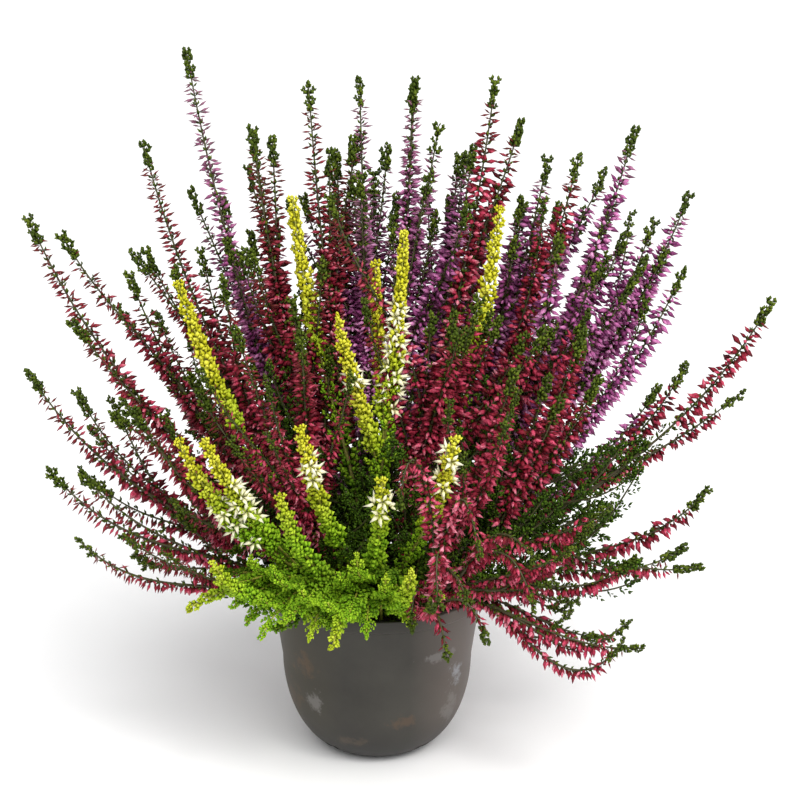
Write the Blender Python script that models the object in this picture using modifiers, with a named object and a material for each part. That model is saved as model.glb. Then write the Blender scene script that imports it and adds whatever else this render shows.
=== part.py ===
"""Potted heather: three flowering heathers, crimson, magenta and lime, in one small nursery pot.

Metres, +Z up. The origin is the middle of the pot's flat underside, and -Y is the front.
Every leafy, flowering stem is one solid: a four-sided stem along a bent path, on which two
opposite points of each ring are drawn out into a bud or a leaf, and the next ring's two lie
crosswise to them, as heather buds do.
"""
import math
import random

import bmesh
import bpy
import numpy as np
from mathutils import Matrix
from mathutils.kdtree import KDTree

MM = 0.001
MERGE_DISTANCE = 0.01 * MM
NEARLY_NOTHING = 1e-6

# Pot: a thin turned shell with a bowl-like foot
POT_HEIGHT = 86 * MM
LIP_RADIUS = 55 * MM
LIP_DEPTH = 6 * MM
LIP_STEP = 1.4 * MM
SHOULDER_RADIUS = 48 * MM
SHOULDER_HEIGHT = 49 * MM
FOOT_RADIUS = 18 * MM
POT_WALL = 1.5 * MM
POT_SIDES = 32
FOOT_ARC_STEPS = 5
DRAIN_COUNT = 4
DRAIN_WIDTH = 9 * MM
DRAIN_HEIGHT = 5 * MM
DRAIN_LENGTH = 15 * MM
DRAIN_RADIUS = 33 * MM

# Potting mix and the holes that the stems stand in
SOIL_TOP = 78 * MM
GAP = 0.3 * MM
ROOT_DEPTH = 12 * MM
ROOT_DISC = 42 * MM
ROOT_SPACING = 9 * MM
ROOT_ROUNDS = 300
ROOT_PUSH = 0.25
STEM_RADIUS = 1.5 * MM
ROOT_RADIUS = 1.35 * MM
HOLE_SIDES = 6

# Leaves along a stem's foot
SHORTEST_LEAF = 2.3 * MM
LEAF_GROWTH = 40 * MM
LEAF_RISE = 4 * MM
LEAF_SPREAD = (0.85, 1.0)
FIRST_RING = 0.5 * MM
FIRST_LEAF = 14 * MM
LAST_LEAF = 0.3

# Buds along a stem's spike, which gets slimmer towards its leafy tip
LONGEST_SPIKE = 0.68
TAPER = 0.28
BUD_SPREAD = (0.86, 1.0)
SPIKE_CORE = 2.5 * MM
SPIKE_CORE_LOSS = 0.7 * MM
TIP_SHARES = (0.15, 0.5, 0.8)
TIP_CORE = 1.7 * MM
TIP_LEAF = 4.2 * MM
TIP_LEAF_LOSS = 1.6 * MM
TIP_RISE = 2.5 * MM

# Paths of the stems
PATH_POINTS = 36
CURVE_POINTS = 144
CLEARING_ROUNDS = 300
CLEARING_PUSH = 0.35
CLEARANCE = 1.6 * MM
RIM_CLEARANCE = 3.0 * MM
HELD_POINTS = 3.0
NECK_HEIGHT = 6 * MM
START_SPREAD = 1.15
STEEPEST_START = math.radians(58)
UPRIGHT_END = 0.6
DROOPING_END = math.radians(115)
SAGGING_END = math.radians(30)
START_PULL = 0.34
END_PULL = 0.40
SAGGING_PULL = 0.62
ROLL_SPREAD = math.radians(12)
SEED = 11

# Tips of the stems in millimetres, as seen from the front: across, deep and high
CRIMSON_TIPS = [
    (-164, -10, 273), (-164, -30, 203), (-152, -55, 163), (-136, -75, 136), (-112, -52, 192),
    (-122, 25, 238), (-113, 25, 303), (-60, 30, 307), (-34, 60, 327), (-20, 75, 290),
    (60, 30, 332), (100, 40, 294), (191, 0, 230), (154, 20, 193), (157, -45, 147),
    (124, -46, 120), (114, -90, 92), (55, -105, 202), (-50, -60, 210), (26, -20, 229),
    (-118, 90, 203), (-150, 62, 148), (-72, 140, 223), (-105, 125, 138), (-66, 104, 98),
    (-98, 72, 104), (112, 56, 108)]
CRIMSON_SAGGING = [(114, -90, 92)]
CRIMSON_DROOPING = [(38, -128, 126), (66, -122, 148)]
MAGENTA_TIPS = [
    (-92, 40, 346), (-9, 70, 328), (18, 60, 326), (45, 85, 288), (87, 75, 287),
    (128, 50, 306), (161, 80, 268), (151, 20, 241),
    (-10, 150, 233), (55, 148, 228), (112, 118, 218), (-30, 165, 148), (40, 168, 153),
    (102, 135, 148), (150, 88, 163), (2, 116, 100)]
LIME_TIPS = [
    (-42, 20, 277), (-93, -20, 244), (14, -30, 270), (57, 20, 273), (-33, -80, 191),
    (-88, -84, 186), (-42, -98, 165), (4, -98, 172), (42, -98, 190), (-72, -98, 132),
    (22, -106, 134)]
FRONDS_OVER_RIM = [(-18, -108, 96), (-88, -66, 98)]


class Habit:
    """How one kind of heather grows: its leafy foot, its spike of buds and its leafy tip."""

    def __init__(self, colour, leaf, leaf_step, bud, bud_step, bud_rise, spike, tip,
                 droops=False):
        self.colour = colour
        self.leaf = leaf * MM
        self.leaf_step = leaf_step * MM
        self.bud = bud * MM
        self.bud_step = bud_step * MM
        self.bud_rise = bud_rise * MM
        self.spike = spike * MM
        self.tip = tip * MM
        self.droops = droops


CRIMSON = Habit((0.42, 0.05, 0.10), 6.0, 10.5, 7.2, 6.0, -0.8, 150, 16)
DROOPING = Habit((0.45, 0.05, 0.11), 6.0, 10.5, 7.2, 6.0, -0.8, 110, 12, droops=True)
MAGENTA = Habit((0.38, 0.09, 0.33), 6.0, 10.5, 7.2, 6.0, -0.8, 145, 16)
LIME = Habit((0.42, 0.50, 0.04), 7.8, 8.0, 6.2, 5.2, 3.0, 95, 14)
FROND = Habit((0.30, 0.48, 0.03), 7.0, 7.0, 7.4, 5.2, 3.0, 50, 10, droops=True)


def clear_scene():
    for thing in list(bpy.data.objects):
        bpy.data.objects.remove(thing, do_unlink=True)


def new_collection(name):
    group = bpy.data.collections.new(name)
    bpy.context.scene.collection.children.link(group)
    return group


def new_material(name, colour, roughness):
    material = bpy.data.materials.new(name)
    material.use_nodes = True
    shader = material.node_tree.nodes["Principled BSDF"]
    shader.inputs["Base Color"].default_value = (*colour, 1.0)
    shader.inputs["Roughness"].default_value = roughness
    shader.inputs["Metallic"].default_value = 0.0
    return material


def add_object(name, mesh, group, material=None):
    thing = bpy.data.objects.new(name, mesh)
    group.objects.link(thing)
    if material is not None:
        mesh.materials.append(material)
    return thing


def mesh_from(work, name):
    """Turns a bmesh into a mesh with its faces pointing out."""
    bmesh.ops.recalc_face_normals(work, faces=work.faces)
    mesh = bpy.data.meshes.new(name)
    work.to_mesh(mesh)
    work.free()
    return mesh


def foot_arc(inset):
    """The bowl of the pot from its shoulder down to the edge of its flat foot."""
    width = SHOULDER_RADIUS - FOOT_RADIUS
    height = SHOULDER_HEIGHT - inset
    points = []
    for step in range(FOOT_ARC_STEPS + 1):
        angle = math.pi / 2 * step / FOOT_ARC_STEPS
        radius = FOOT_RADIUS - inset + width * math.cos(angle)
        points.append((radius, SHOULDER_HEIGHT - height * math.sin(angle)))
    return points


def wall_radius(height, inset):
    """Radius of the straight upper wall at a height, moved in by the inset."""
    top = LIP_RADIUS - LIP_STEP
    share = (height - SHOULDER_HEIGHT) / (POT_HEIGHT - SHOULDER_HEIGHT)
    return SHOULDER_RADIUS + (top - SHOULDER_RADIUS) * share - inset


def turn(name, profile, group, material, sides):
    """Turns a profile of radius and height about the Z axis."""
    mesh = bpy.data.meshes.new(name)
    points = [(radius, 0.0, height) for radius, height in profile]
    mesh.from_pydata(points, [(i, i + 1) for i in range(len(points) - 1)], [])
    thing = add_object(name, mesh, group, material)
    screw = thing.modifiers.new("Turn", "SCREW")
    screw.steps = sides
    screw.render_steps = sides
    screw.use_merge_vertices = True
    screw.merge_threshold = MERGE_DISTANCE
    return thing


def apply_modifiers(thing):
    """Keeps the evaluated shape as the object's own mesh."""
    graph = bpy.context.evaluated_depsgraph_get()
    mesh = bpy.data.meshes.new_from_object(thing.evaluated_get(graph))
    thing.modifiers.clear()
    thing.data = mesh


def cut(thing, cutter):
    boolean = thing.modifiers.new("Cut", "BOOLEAN")
    boolean.operation = "DIFFERENCE"
    boolean.object = cutter
    cutter.hide_render = True
    cutter.display_type = "WIRE"


def drain_cutter(group):
    """One body for each drain notch, through the curve of the foot."""
    work = bmesh.new()
    for number in range(DRAIN_COUNT):
        angle = 2 * math.pi * (number + 0.5) / DRAIN_COUNT
        made = bmesh.ops.create_cube(work, size=1.0)["verts"]
        bmesh.ops.scale(work, vec=(DRAIN_LENGTH, DRAIN_WIDTH, DRAIN_HEIGHT), verts=made)
        bmesh.ops.translate(work, vec=(DRAIN_RADIUS, 0, DRAIN_HEIGHT), verts=made)
        bmesh.ops.rotate(work, matrix=Matrix.Rotation(angle, 3, "Z"), verts=made)
    return add_object("drain_cutter", mesh_from(work, "drain_cutter"), group)


def make_pot(group, cutters):
    inner = [(0.0, POT_WALL)]
    inner += [(radius, height) for radius, height in reversed(foot_arc(POT_WALL))]
    inner += [(wall_radius(POT_HEIGHT, POT_WALL), POT_HEIGHT)]
    lip_foot = POT_HEIGHT - LIP_DEPTH
    outer = [(LIP_RADIUS, POT_HEIGHT), (LIP_RADIUS, lip_foot)]
    outer += [(wall_radius(lip_foot - LIP_STEP, 0), lip_foot - LIP_STEP)]
    outer += foot_arc(0)
    outer += [(0.0, 0.0)]
    material = new_material("pot_plastic", (0.09, 0.085, 0.08), 0.45)
    pot = turn("pot", inner + outer, group, material, POT_SIDES)
    cut(pot, drain_cutter(cutters))
    return pot


def make_soil(group, cutters, roots):
    """Potting mix up to just below the rim, with a plain hole for each stem."""
    inset = POT_WALL + GAP
    side = [(wall_radius(SOIL_TOP, inset), SOIL_TOP)] + foot_arc(inset)
    material = new_material("potting_mix", (0.06, 0.04, 0.025), 0.95)
    soil = turn("soil", side, group, material, POT_SIDES)
    apply_modifiers(soil)
    work = bmesh.new()
    work.from_mesh(soil.data)
    bmesh.ops.remove_doubles(work, verts=work.verts, dist=MERGE_DISTANCE)
    bmesh.ops.holes_fill(work, edges=work.edges, sides=0)
    soil.data = mesh_from(work, "soil")
    soil.data.materials.append(material)
    work = bmesh.new()
    radius = (STEM_RADIUS + GAP) / math.cos(math.pi / HOLE_SIDES)
    depth = ROOT_DEPTH + GAP
    for x, y in roots:
        made = bmesh.ops.create_cone(work, cap_ends=True, segments=HOLE_SIDES, radius1=radius,
                                     radius2=radius, depth=2 * depth)["verts"]
        bmesh.ops.translate(work, vec=(x, y, SOIL_TOP), verts=made)
    cut(soil, add_object("stem_holes", mesh_from(work, "stem_holes"), cutters))
    return soil


def root_places(tips):
    """Stems that lean most stand nearest the rim, each below its own tip's direction."""
    lean = [math.atan2(math.hypot(x, y), z - SOIL_TOP) for x, y, z in tips]
    order = sorted(range(len(tips)), key=lambda i: lean[i])
    places = [None] * len(tips)
    for rank, i in enumerate(order):
        x, y, _ = tips[i]
        reach = math.hypot(x, y)
        radius = ROOT_DISC * math.sqrt((rank + 0.5) / len(tips))
        places[i] = [x / reach * radius, y / reach * radius]
    return spread(places)


def spread(places):
    """Moves the roots apart until each has its own ground, inside the disc."""
    for _ in range(ROOT_ROUNDS):
        for i in range(len(places)):
            for j in range(i + 1, len(places)):
                dx = places[j][0] - places[i][0]
                dy = places[j][1] - places[i][1]
                apart = math.hypot(dx, dy)
                if apart >= ROOT_SPACING:
                    continue
                push = ROOT_PUSH * (ROOT_SPACING - apart) / max(apart, NEARLY_NOTHING)
                places[i] = [places[i][0] - push * dx, places[i][1] - push * dy]
                places[j] = [places[j][0] + push * dx, places[j][1] + push * dy]
        for place in places:
            reach = math.hypot(*place)
            if reach > ROOT_DISC:
                place[0] *= ROOT_DISC / reach
                place[1] *= ROOT_DISC / reach
    return places


def bezier(p0, p1, p2, p3, count):
    share = np.linspace(0.0, 1.0, count)[:, None]
    rest = 1 - share
    return rest**3 * p0 + 3 * rest**2 * share * p1 + 3 * rest * share**2 * p2 + share**3 * p3


def first_path(root, tip, habit, sags):
    """Out of the soil at a wide angle, then ever more upright, or down at a drooping tip.

    A stem that sags over the rim dips outside the pot before its end turns up.
    """
    ground = np.array([root[0], root[1], SOIL_TOP])
    tip = np.array(tip)
    out = tip - ground
    length = np.linalg.norm(out)
    lean = math.atan2(math.hypot(out[0], out[1]), out[2])
    flat = np.array([out[0], out[1], 0.0]) / math.hypot(out[0], out[1])
    start_lean = min(START_SPREAD * lean, STEEPEST_START)
    end_lean = DROOPING_END if habit.droops else UPRIGHT_END * lean
    end_pull = END_PULL
    if sags:
        end_lean = SAGGING_END
        end_pull = SAGGING_PULL
    neck = ground + heading(flat, 0.0) * NECK_HEIGHT
    start = neck + heading(flat, start_lean) * START_PULL * length
    finish = tip - heading(flat, end_lean) * end_pull * length
    curve = bezier(neck, start, finish, tip, CURVE_POINTS)
    return resample(np.vstack([ground, curve]), PATH_POINTS)


def heading(flat, lean):
    """A direction that leans by an angle from straight up towards a level one."""
    return flat * math.sin(lean) + np.array([0.0, 0.0, math.cos(lean)])


def arc_lengths(path):
    steps = np.sqrt(((path[1:] - path[:-1]) ** 2).sum(axis=1))
    return np.concatenate([[0.0], np.cumsum(steps)])


def resample(path, count):
    along = arc_lengths(path)
    wanted = np.linspace(0.0, along[-1], count)
    return np.stack([np.interp(wanted, along, path[:, axis]) for axis in range(3)], axis=1)


def leaf_reach(habit, height):
    """How far the leaves stand out, which grows with the length of stem above the soil."""
    return np.maximum(habit.leaf * np.clip(height / LEAF_GROWTH, 0.0, 1.0), SHORTEST_LEAF)


def spike_start(habit, length):
    """Where the buds begin on a stem of a given length above the soil."""
    return length - habit.tip - min(habit.spike, LONGEST_SPIKE * length)


def path_widths(path, habit):
    """Half the room that a stem needs at each point of its path."""
    along = arc_lengths(path)
    start = spike_start(habit, along[-1])
    return np.where(along > start - habit.leaf_step, habit.bud, leaf_reach(habit, along))


def rim_push(points, widths):
    """Lifts what would touch the pot's rim, and moves out what would touch its wall."""
    reach = np.hypot(points[:, 0], points[:, 1])
    lowest = POT_HEIGHT + widths + RIM_CLEARANCE
    outermost = LIP_RADIUS + widths + RIM_CLEARANCE
    low = np.clip(lowest - points[:, 2], 0.0, None)
    near = (reach > ROOT_DISC) & (reach < outermost) & (low > 0)
    inside = near & (reach <= LIP_RADIUS)
    beside = near & (reach > LIP_RADIUS)
    push = np.zeros_like(points)
    push[:, 2] = np.where(inside, low, 0.0)
    outward = np.where(beside, outermost - reach, 0.0) / np.maximum(reach, NEARLY_NOTHING)
    push[:, :2] = points[:, :2] * outward[:, None]
    return push


def smoothed(moves):
    """Each point's move, drawn half-way to the mean of its neighbours' moves."""
    smooth = moves.copy()
    smooth[:, 1:-1] = 0.5 * moves[:, 1:-1] + 0.25 * (moves[:, 2:] + moves[:, :-2])
    smooth[:, -1] = 0.5 * (moves[:, -1] + moves[:, -2])
    return smooth


def clear_paths(paths, habits):
    """Bends the stems clear of each other, a little at a time, without kinks."""
    paths = np.array(paths)
    first = paths.copy()
    widths = np.concatenate([path_widths(path, habit) for path, habit in zip(paths, habits)])
    hold = np.clip(np.arange(PATH_POINTS) / HELD_POINTS, 0.0, 1.0)[:, None]
    widest = float(widths.max())
    for _ in range(CLEARING_ROUNDS):
        flat = paths.reshape(-1, 3)
        tree = KDTree(len(flat))
        for index, point in enumerate(flat):
            tree.insert(point, index)
        tree.balance()
        push = np.zeros_like(flat)
        for index, point in enumerate(flat):
            reach = widths[index] + widest + CLEARANCE
            for _, other, apart in tree.find_range(point, reach):
                if other <= index or other // PATH_POINTS == index // PATH_POINTS:
                    continue
                room = widths[index] + widths[other] + CLEARANCE
                if apart >= room:
                    continue
                share = CLEARING_PUSH * (room - apart) / max(apart, NEARLY_NOTHING)
                shift = (point - flat[other]) * share
                push[index] += shift
                push[other] -= shift
        paths = first + smoothed(paths - first + push.reshape(paths.shape) * hold) * hold
        lifted = rim_push(paths.reshape(-1, 3), widths).reshape(paths.shape)
        paths = paths + lifted * hold
    return paths


def ring_rows(length, habit, draw):
    """Rings from root to tip: place along the stem, core, reach of the two points, and rise."""
    rows = [(0.0, ROOT_RADIUS, ROOT_RADIUS, 0.0)]
    rows.append((ROOT_DEPTH + FIRST_RING, STEM_RADIUS, STEM_RADIUS, 0.0))
    start = ROOT_DEPTH + spike_start(habit, length - ROOT_DEPTH)
    place = ROOT_DEPTH + FIRST_LEAF
    while place < start - LAST_LEAF * habit.leaf_step:
        reach = leaf_reach(habit, place - ROOT_DEPTH) * draw.uniform(*LEAF_SPREAD)
        rows.append((place, STEM_RADIUS, reach, LEAF_RISE))
        place += habit.leaf_step
    place = start
    spike = length - habit.tip - start
    while place < length - habit.tip:
        share = (place - start) / spike
        reach = habit.bud * (1.0 - TAPER * share**2) * draw.uniform(*BUD_SPREAD)
        rows.append((place, SPIKE_CORE - SPIKE_CORE_LOSS * share, reach, habit.bud_rise))
        place += habit.bud_step
    for share in TIP_SHARES:
        reach = TIP_LEAF - TIP_LEAF_LOSS * share
        rows.append((length - habit.tip * (1 - share), TIP_CORE, reach, TIP_RISE))
    return rows


def carried_frames(points):
    """A direction along the path and two across it at each point, carried without twist."""
    along = np.gradient(points, axis=0)
    along /= np.linalg.norm(along, axis=1)[:, None]
    across = np.zeros_like(points)
    side = np.array([1.0, 0.0, 0.0])
    for index in range(len(points)):
        side = side - along[index] * side.dot(along[index])
        side = side / np.linalg.norm(side)
        across[index] = side
    return along, across, np.cross(along, across)


def make_stem(name, path, habit, group, material, draw):
    """Wraps a grid into a four-sided stem and draws its buds and leaves out of it."""
    below = path[0] - np.array([0.0, 0.0, ROOT_DEPTH])
    path = np.vstack([below, path])
    along = arc_lengths(path)
    rows = ring_rows(along[-1], habit, draw)
    places = np.array([row[0] for row in rows])
    points = np.stack([np.interp(places, along, path[:, axis]) for axis in range(3)], axis=1)
    ahead, side, other = carried_frames(points)
    work = bmesh.new()
    last = len(rows) + 1
    bmesh.ops.create_grid(work, x_segments=4, y_segments=last, size=1.0)
    roll = draw.uniform(0.0, math.pi / 2)
    rolls = [roll + draw.uniform(-ROLL_SPREAD, ROLL_SPREAD) for _ in rows]
    for vertex in work.verts:
        column = round((vertex.co.x + 1) * 2)
        row = round((vertex.co.y + 1) * last / 2)
        if row == 0:
            vertex.co = points[0]
        elif row == last:
            vertex.co = path[-1]
        else:
            _, core, reach, rise = rows[row - 1]
            drawn_out = (column + row) % 2 == 0
            radius = reach if drawn_out else core
            angle = rolls[row - 1] + column * math.pi / 2
            turned = math.cos(angle) * side[row - 1] + math.sin(angle) * other[row - 1]
            lift = rise if drawn_out and reach > core else 0.0
            vertex.co = points[row - 1] + radius * turned + lift * ahead[row - 1]
    bmesh.ops.remove_doubles(work, verts=work.verts, dist=MERGE_DISTANCE)
    bmesh.ops.triangulate(work, faces=work.faces, quad_method="SHORT_EDGE")
    return add_object(name, mesh_from(work, name), group, material)


def main():
    clear_scene()
    heather = new_collection("potted_heather")
    cutters = new_collection("cutters")
    draw = random.Random(SEED)
    kinds = [("crimson", CRIMSON, CRIMSON_TIPS), ("crimson_drooping", DROOPING, CRIMSON_DROOPING),
             ("magenta", MAGENTA, MAGENTA_TIPS), ("lime", LIME, LIME_TIPS),
             ("lime_frond", FROND, FRONDS_OVER_RIM)]
    names = []
    habits = []
    tips = []
    sagging = []
    materials = []
    for kind, habit, places in kinds:
        material = new_material(kind, habit.colour, 0.6)
        for number, place in enumerate(places, 1):
            names.append(f"{kind}_stem_{number:02d}")
            habits.append(habit)
            tips.append(tuple(value * MM for value in place))
            sagging.append(place in CRIMSON_SAGGING)
            materials.append(material)
    roots = root_places(tips)
    paths = [first_path(*start) for start in zip(roots, tips, habits, sagging)]
    paths = clear_paths(paths, habits)
    make_pot(heather, cutters)
    make_soil(heather, cutters, roots)
    for name, path, habit, material in zip(names, paths, habits, materials):
        make_stem(name, path, habit, heather, material, draw)


main()
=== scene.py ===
"""Looks of the potted heather: crimson, magenta and lime heather in one small nursery pot.

Metres, +Z up, and -Y is the front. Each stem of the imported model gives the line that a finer
stem follows here, with its side stems, its buds, its leafy tip and its green leafy foot.
"""

import math
import random

import bmesh
import bpy
import numpy as np
from mathutils import Matrix, Vector, noise


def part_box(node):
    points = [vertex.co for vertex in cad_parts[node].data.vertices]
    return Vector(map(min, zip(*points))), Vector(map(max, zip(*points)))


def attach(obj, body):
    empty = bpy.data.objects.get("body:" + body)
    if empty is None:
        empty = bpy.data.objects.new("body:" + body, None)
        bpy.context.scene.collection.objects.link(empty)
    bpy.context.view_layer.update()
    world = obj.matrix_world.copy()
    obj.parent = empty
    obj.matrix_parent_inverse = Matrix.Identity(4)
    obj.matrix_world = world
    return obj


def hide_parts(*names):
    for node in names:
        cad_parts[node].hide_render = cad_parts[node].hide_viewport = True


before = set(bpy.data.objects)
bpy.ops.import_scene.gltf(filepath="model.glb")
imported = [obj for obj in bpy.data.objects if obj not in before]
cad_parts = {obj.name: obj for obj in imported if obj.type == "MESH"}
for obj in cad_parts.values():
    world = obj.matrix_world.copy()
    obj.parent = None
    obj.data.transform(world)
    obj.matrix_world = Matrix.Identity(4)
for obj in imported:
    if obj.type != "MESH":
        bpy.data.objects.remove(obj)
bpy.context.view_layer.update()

MM = 0.001
SEED = 7
BODY = "root"

# Camera: the photograph looks a little down at the plant
CAMERA_PLACE = (11.6 * MM, -950 * MM, 456.5 * MM)
CAMERA_PITCH = math.radians(16.2)
SENSOR_WIDTH = 36.0
LENS = 91.0

# Pot, with its heights above the flat foot
LIP_DEPTH = 6 * MM
LIP_STEP = 1.4 * MM
SHOULDER_RADIUS = 48 * MM
SHOULDER_HEIGHT = 49 * MM
FOOT_RADIUS = 18 * MM
POT_WALL = 1.5 * MM
POT_EDGE = 0.6 * MM
POT_SIDES = 144
FOOT_STEPS = 26
WALL_STEPS = 12
DRAIN_COUNT = 4
DRAIN_WIDTH = 9 * MM
DRAIN_HEIGHT = 5 * MM
DRAIN_RADIUS = 33 * MM
DRAIN_CUT = 3 * DRAIN_HEIGHT
SHARP_ANGLE = math.radians(40)
MERGE_DISTANCE = 0.01 * MM

# The pot's wall is slightly uneven: how deep, where its two wide dents start, and its small ones
POT_WOBBLE = 0.45 * MM
DENT_START = 0.7
DENT_SCALE = 30
DENT_SHARE = 0.4

# How ragged the marks on the pot are, where their edges fade, and how much they cover
MARK_RAGGED = 4.6
MARK_EDGE = (0.45, 1.1)
MARK_COVER = 0.5

# Potting mix: its gap to the wall, how far its level and its edge lie below the top, and its crumbs
SOIL_GAP = 0.5 * MM
SOIL_SINK = 1 * MM
SOIL_EDGE = 2 * MM
SOIL_SIDES = 96
SOIL_RINGS = 40
CRUMBS_FROM = 1.5 * MM
CRUMB_HEIGHT = 1.6 * MM
CRUMB_SCALE = 90
CRUMB_OCTAVES = 4

# Light: a white world, a key lamp at the front right, and a wide panel of sky from above
WORLD_LIGHT = 0.64
KEY_PLACE = (0.75, -1.05, 1.35)
KEY_TARGET = (0.0, 0.0, 0.18)
KEY_SIZE = 0.5
KEY_POWER = 9.0
KEY_COLOUR = (1.0, 0.98, 0.95)
SKY_POWER = 2.6
SKY_SPREAD = math.radians(50)
SKY_TURN = (math.radians(38), math.radians(12), 0.0)
FLOOR_RADIUS = 8.0
FLOOR_SIDES = 96

# Colours of the buds, from dark to bright. Buds take them by tone and at random, partly their own
# colour and partly painted shade and painted highlight
CRIMSON_STOPS = [(0.0, (0.035, 0.003, 0.005)), (0.42, (0.25, 0.012, 0.030)),
                 (0.72, (0.56, 0.055, 0.120)), (1.0, (0.88, 0.36, 0.45))]
MAGENTA_STOPS = [(0.0, (0.045, 0.010, 0.032)), (0.38, (0.30, 0.055, 0.20)),
                 (0.68, (0.60, 0.20, 0.44)), (1.0, (0.86, 0.52, 0.74))]

# Organs, with shares of their own length or width
LEAF_DEPTH = 0.36
SHOOT_START = 0.4
SHOOT_TAPER = 0.45
SHOOT_THINNING = 0.3
END_LEAF_SINK = 0.4
END_LEAF_SIZE = 0.8
END_LEAF_LEAN = 0.3
SEPALS = 5
SEPAL_SPLAY = math.radians(58)
SEPAL_START = 0.5

# How fast organs reach their full size from the tip on: below 1 is faster at first
GROWTH_CURVE = 0.6

# Reading a packed stem's line: decimals kept, rounds of smoothing, and the fewest points of a line
PLACE_DIGITS = 5
LINE_SMOOTHING = 3
FEWEST_POINTS = 4

# Stems
LINE_STEP = 4 * MM
LINE_POINTS = 60
AHEAD_STEP = 0.02
SIDE_PULL = 0.38
MAIN_FOOT = 1.2 * MM
SIDE_FOOT = 0.8 * MM
STEM_END = 0.35 * MM
HEATHER_TIP = 14 * MM
HEATHER_SPIKE = 150 * MM
SPIKE_SHARE = 0.68
SIDE_SPIKE_SHARE = 0.70
LIME_TIP = 6 * MM
LIME_SPIKE = 75 * MM

# Shares of a stem's length where side stems may leave it, and what a turn costs against a reach
FORKS = (0.22, 0.3, 0.38, 0.46, 0.54, 0.62)
FORK_TURN_COST = 0.4
SIDE_REACH = 110 * MM

# Hanging stems: their leafy tip is shorter by the cut, and so are their spikes
HANGING_SPIKE = 78 * MM
HANGING_CUT = 8 * MM
HANGING_SPIKE_SHARE = 0.92
HANGING_REACH = 85 * MM

# Spikes are short where tips lie at the front right, and at the far right; tips in millimetres
FRONT_SPIKE = 60 * MM
FRONT_RIGHT_ACROSS = 28
FRONT_RIGHT_DEEP = 10
FRONT_RIGHT_HIGH = (172, 235)
SHORT_SPIKE = 105 * MM
FAR_RIGHT_ACROSS = 88
FAR_RIGHT_HIGH = 215

# Lime stems are greener where their tips are lower than this, more so over the next stretch down
GREEN_BELOW = 206 * MM
GREEN_FADE = 45 * MM

# Young buds are slim and dull for this far from the tip. It is further on tall stems and on
# stems at the left, from these places in millimetres on, and a smaller share at the right
YOUTH = 38 * MM
TALL_YOUTH = 0.65 * MM
TALL_FROM = 240
LEFT_YOUTH = 0.35 * MM
LEFT_FROM = -80
RIGHT_YOUTH = 0.35
RIGHT_FULLY = 60

# Tone of a stem, from 0 dark to 1 bright: at the middle, for each millimetre further back and
# further right, and how far chance carries it either way
CRIMSON_TONE = (0.45, -0.0032, 0.0010, 0.15)
MAGENTA_TONE = (0.40, 0.0, 0.0010, 0.15)
LIME_TONE = (0.50, 0.0, 0.0, 0.30)
TWIG_TONE = 0.5

# Companions: the share of their stem, from their fork to its tip, at which they end, where they
# fork, and how far they stand aside in millimetres. A stem whose tip is further left than the
# left tip gets two, and one whose tip is further forward than the front tip gets none
COMPANION_REACH = [(0.62, 0.92), (0.35, 0.70)]
COMPANION_FORK = (0.20, 0.42)
COMPANION_ASIDE = (13, 28)
COMPANION_TURN = 0.35
COMPANION_VIGOUR = (0.85, 1.0)
LEFT_TIP = -85 * MM
FRONT_TIP = -110 * MM

# Buds are smaller on the stems whose tips come this near to the viewer
NEAR_TIP = -55 * MM
NEAR_VIGOUR = 0.82

# How low side stems may end, in millimetres at the middle, and how that rises left and forward
LOWEST_TIP = 78 * MM
OUTLINE_HEIGHT = 22
OUTLINE_TO_LEFT = 0.64
OUTLINE_TO_FRONT = 0.4

# How far a side stem's end turns up, or down where it hangs
SIDE_LIFT = 0.35
FILLER_LIFT = 0.6
TWIG_LIFT = 0.6
HANGING_LIFT = -2.2
HANGING_PULL = 0.62

# The dome that side stems and leafy twigs fill, inside the outermost stems
DOME_CENTRE = np.array([4, 0, 80]) * MM
DOME_SIZE = np.array([168, 134, 258]) * MM
GOLDEN_ANGLE = math.pi * (3 - math.sqrt(5))
FILLER_COUNT = 100
FILLER_RISE = (0.10, 0.97)
FILLER_REACH = (0.60, 0.90)
FRONT_REACH = (0.42, 0.72)
FRONT_SECTOR = -0.35
LOW_FRONT_SECTOR = 0.5 * FRONT_SECTOR
FRONT_RISE = 0.5
SHADY_LOW = np.array([42, -55, 95]) * MM
SHADY_HIGH = np.array([135, 60, 172]) * MM
SHADY_TWIGS = 46
CLEAR_LOW = np.array([-22, -60, 195]) * MM
CLEAR_HIGH = np.array([32, -14, 262]) * MM
TWIG_COUNT = 120
TWIG_RISE = (0.0, 0.85)
TWIG_REACH = (0.34, 0.62)
TWIG_LENGTH = 60 * MM
LOWEST_TWIG = 102 * MM

# Magenta grows behind this depth, in millimetres, and further forward at the right and higher up
MAGENTA_FROM = 30
MAGENTA_TO_RIGHT = 0.15
MAGENTA_UPWARDS = 0.5
MAGENTA_HEIGHT = 220
MAGENTA_EDGE = 25

# The lime mat: ranges of turn in degrees and of places in millimetres, and how green it is at
# its front and further in
MAT_COUNT = 15
MAT_TURNS = (188, 285)
MAT_REACH = (52, 88)
MAT_HEIGHT = (88, 118)
MAT_LIFT = (-0.8, 1.0)
MAT_INSIDE = (26, 44)
MAT_START = 82 * MM
MAT_SPIKE = 14 * MM
MAT_GREEN = 1.15
MAT_GREENER = 1.2
FROND_DEPTH = (0.0, 0.3)
MAT_DEPTH = (0.5, 1.0)
FROND_STEP = 3 * MM
FROND_POINTS = 40
FROND_RISE = 0.5
FROND_LEAN = 0.12
FLAT_ROLL = 0.0

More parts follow.
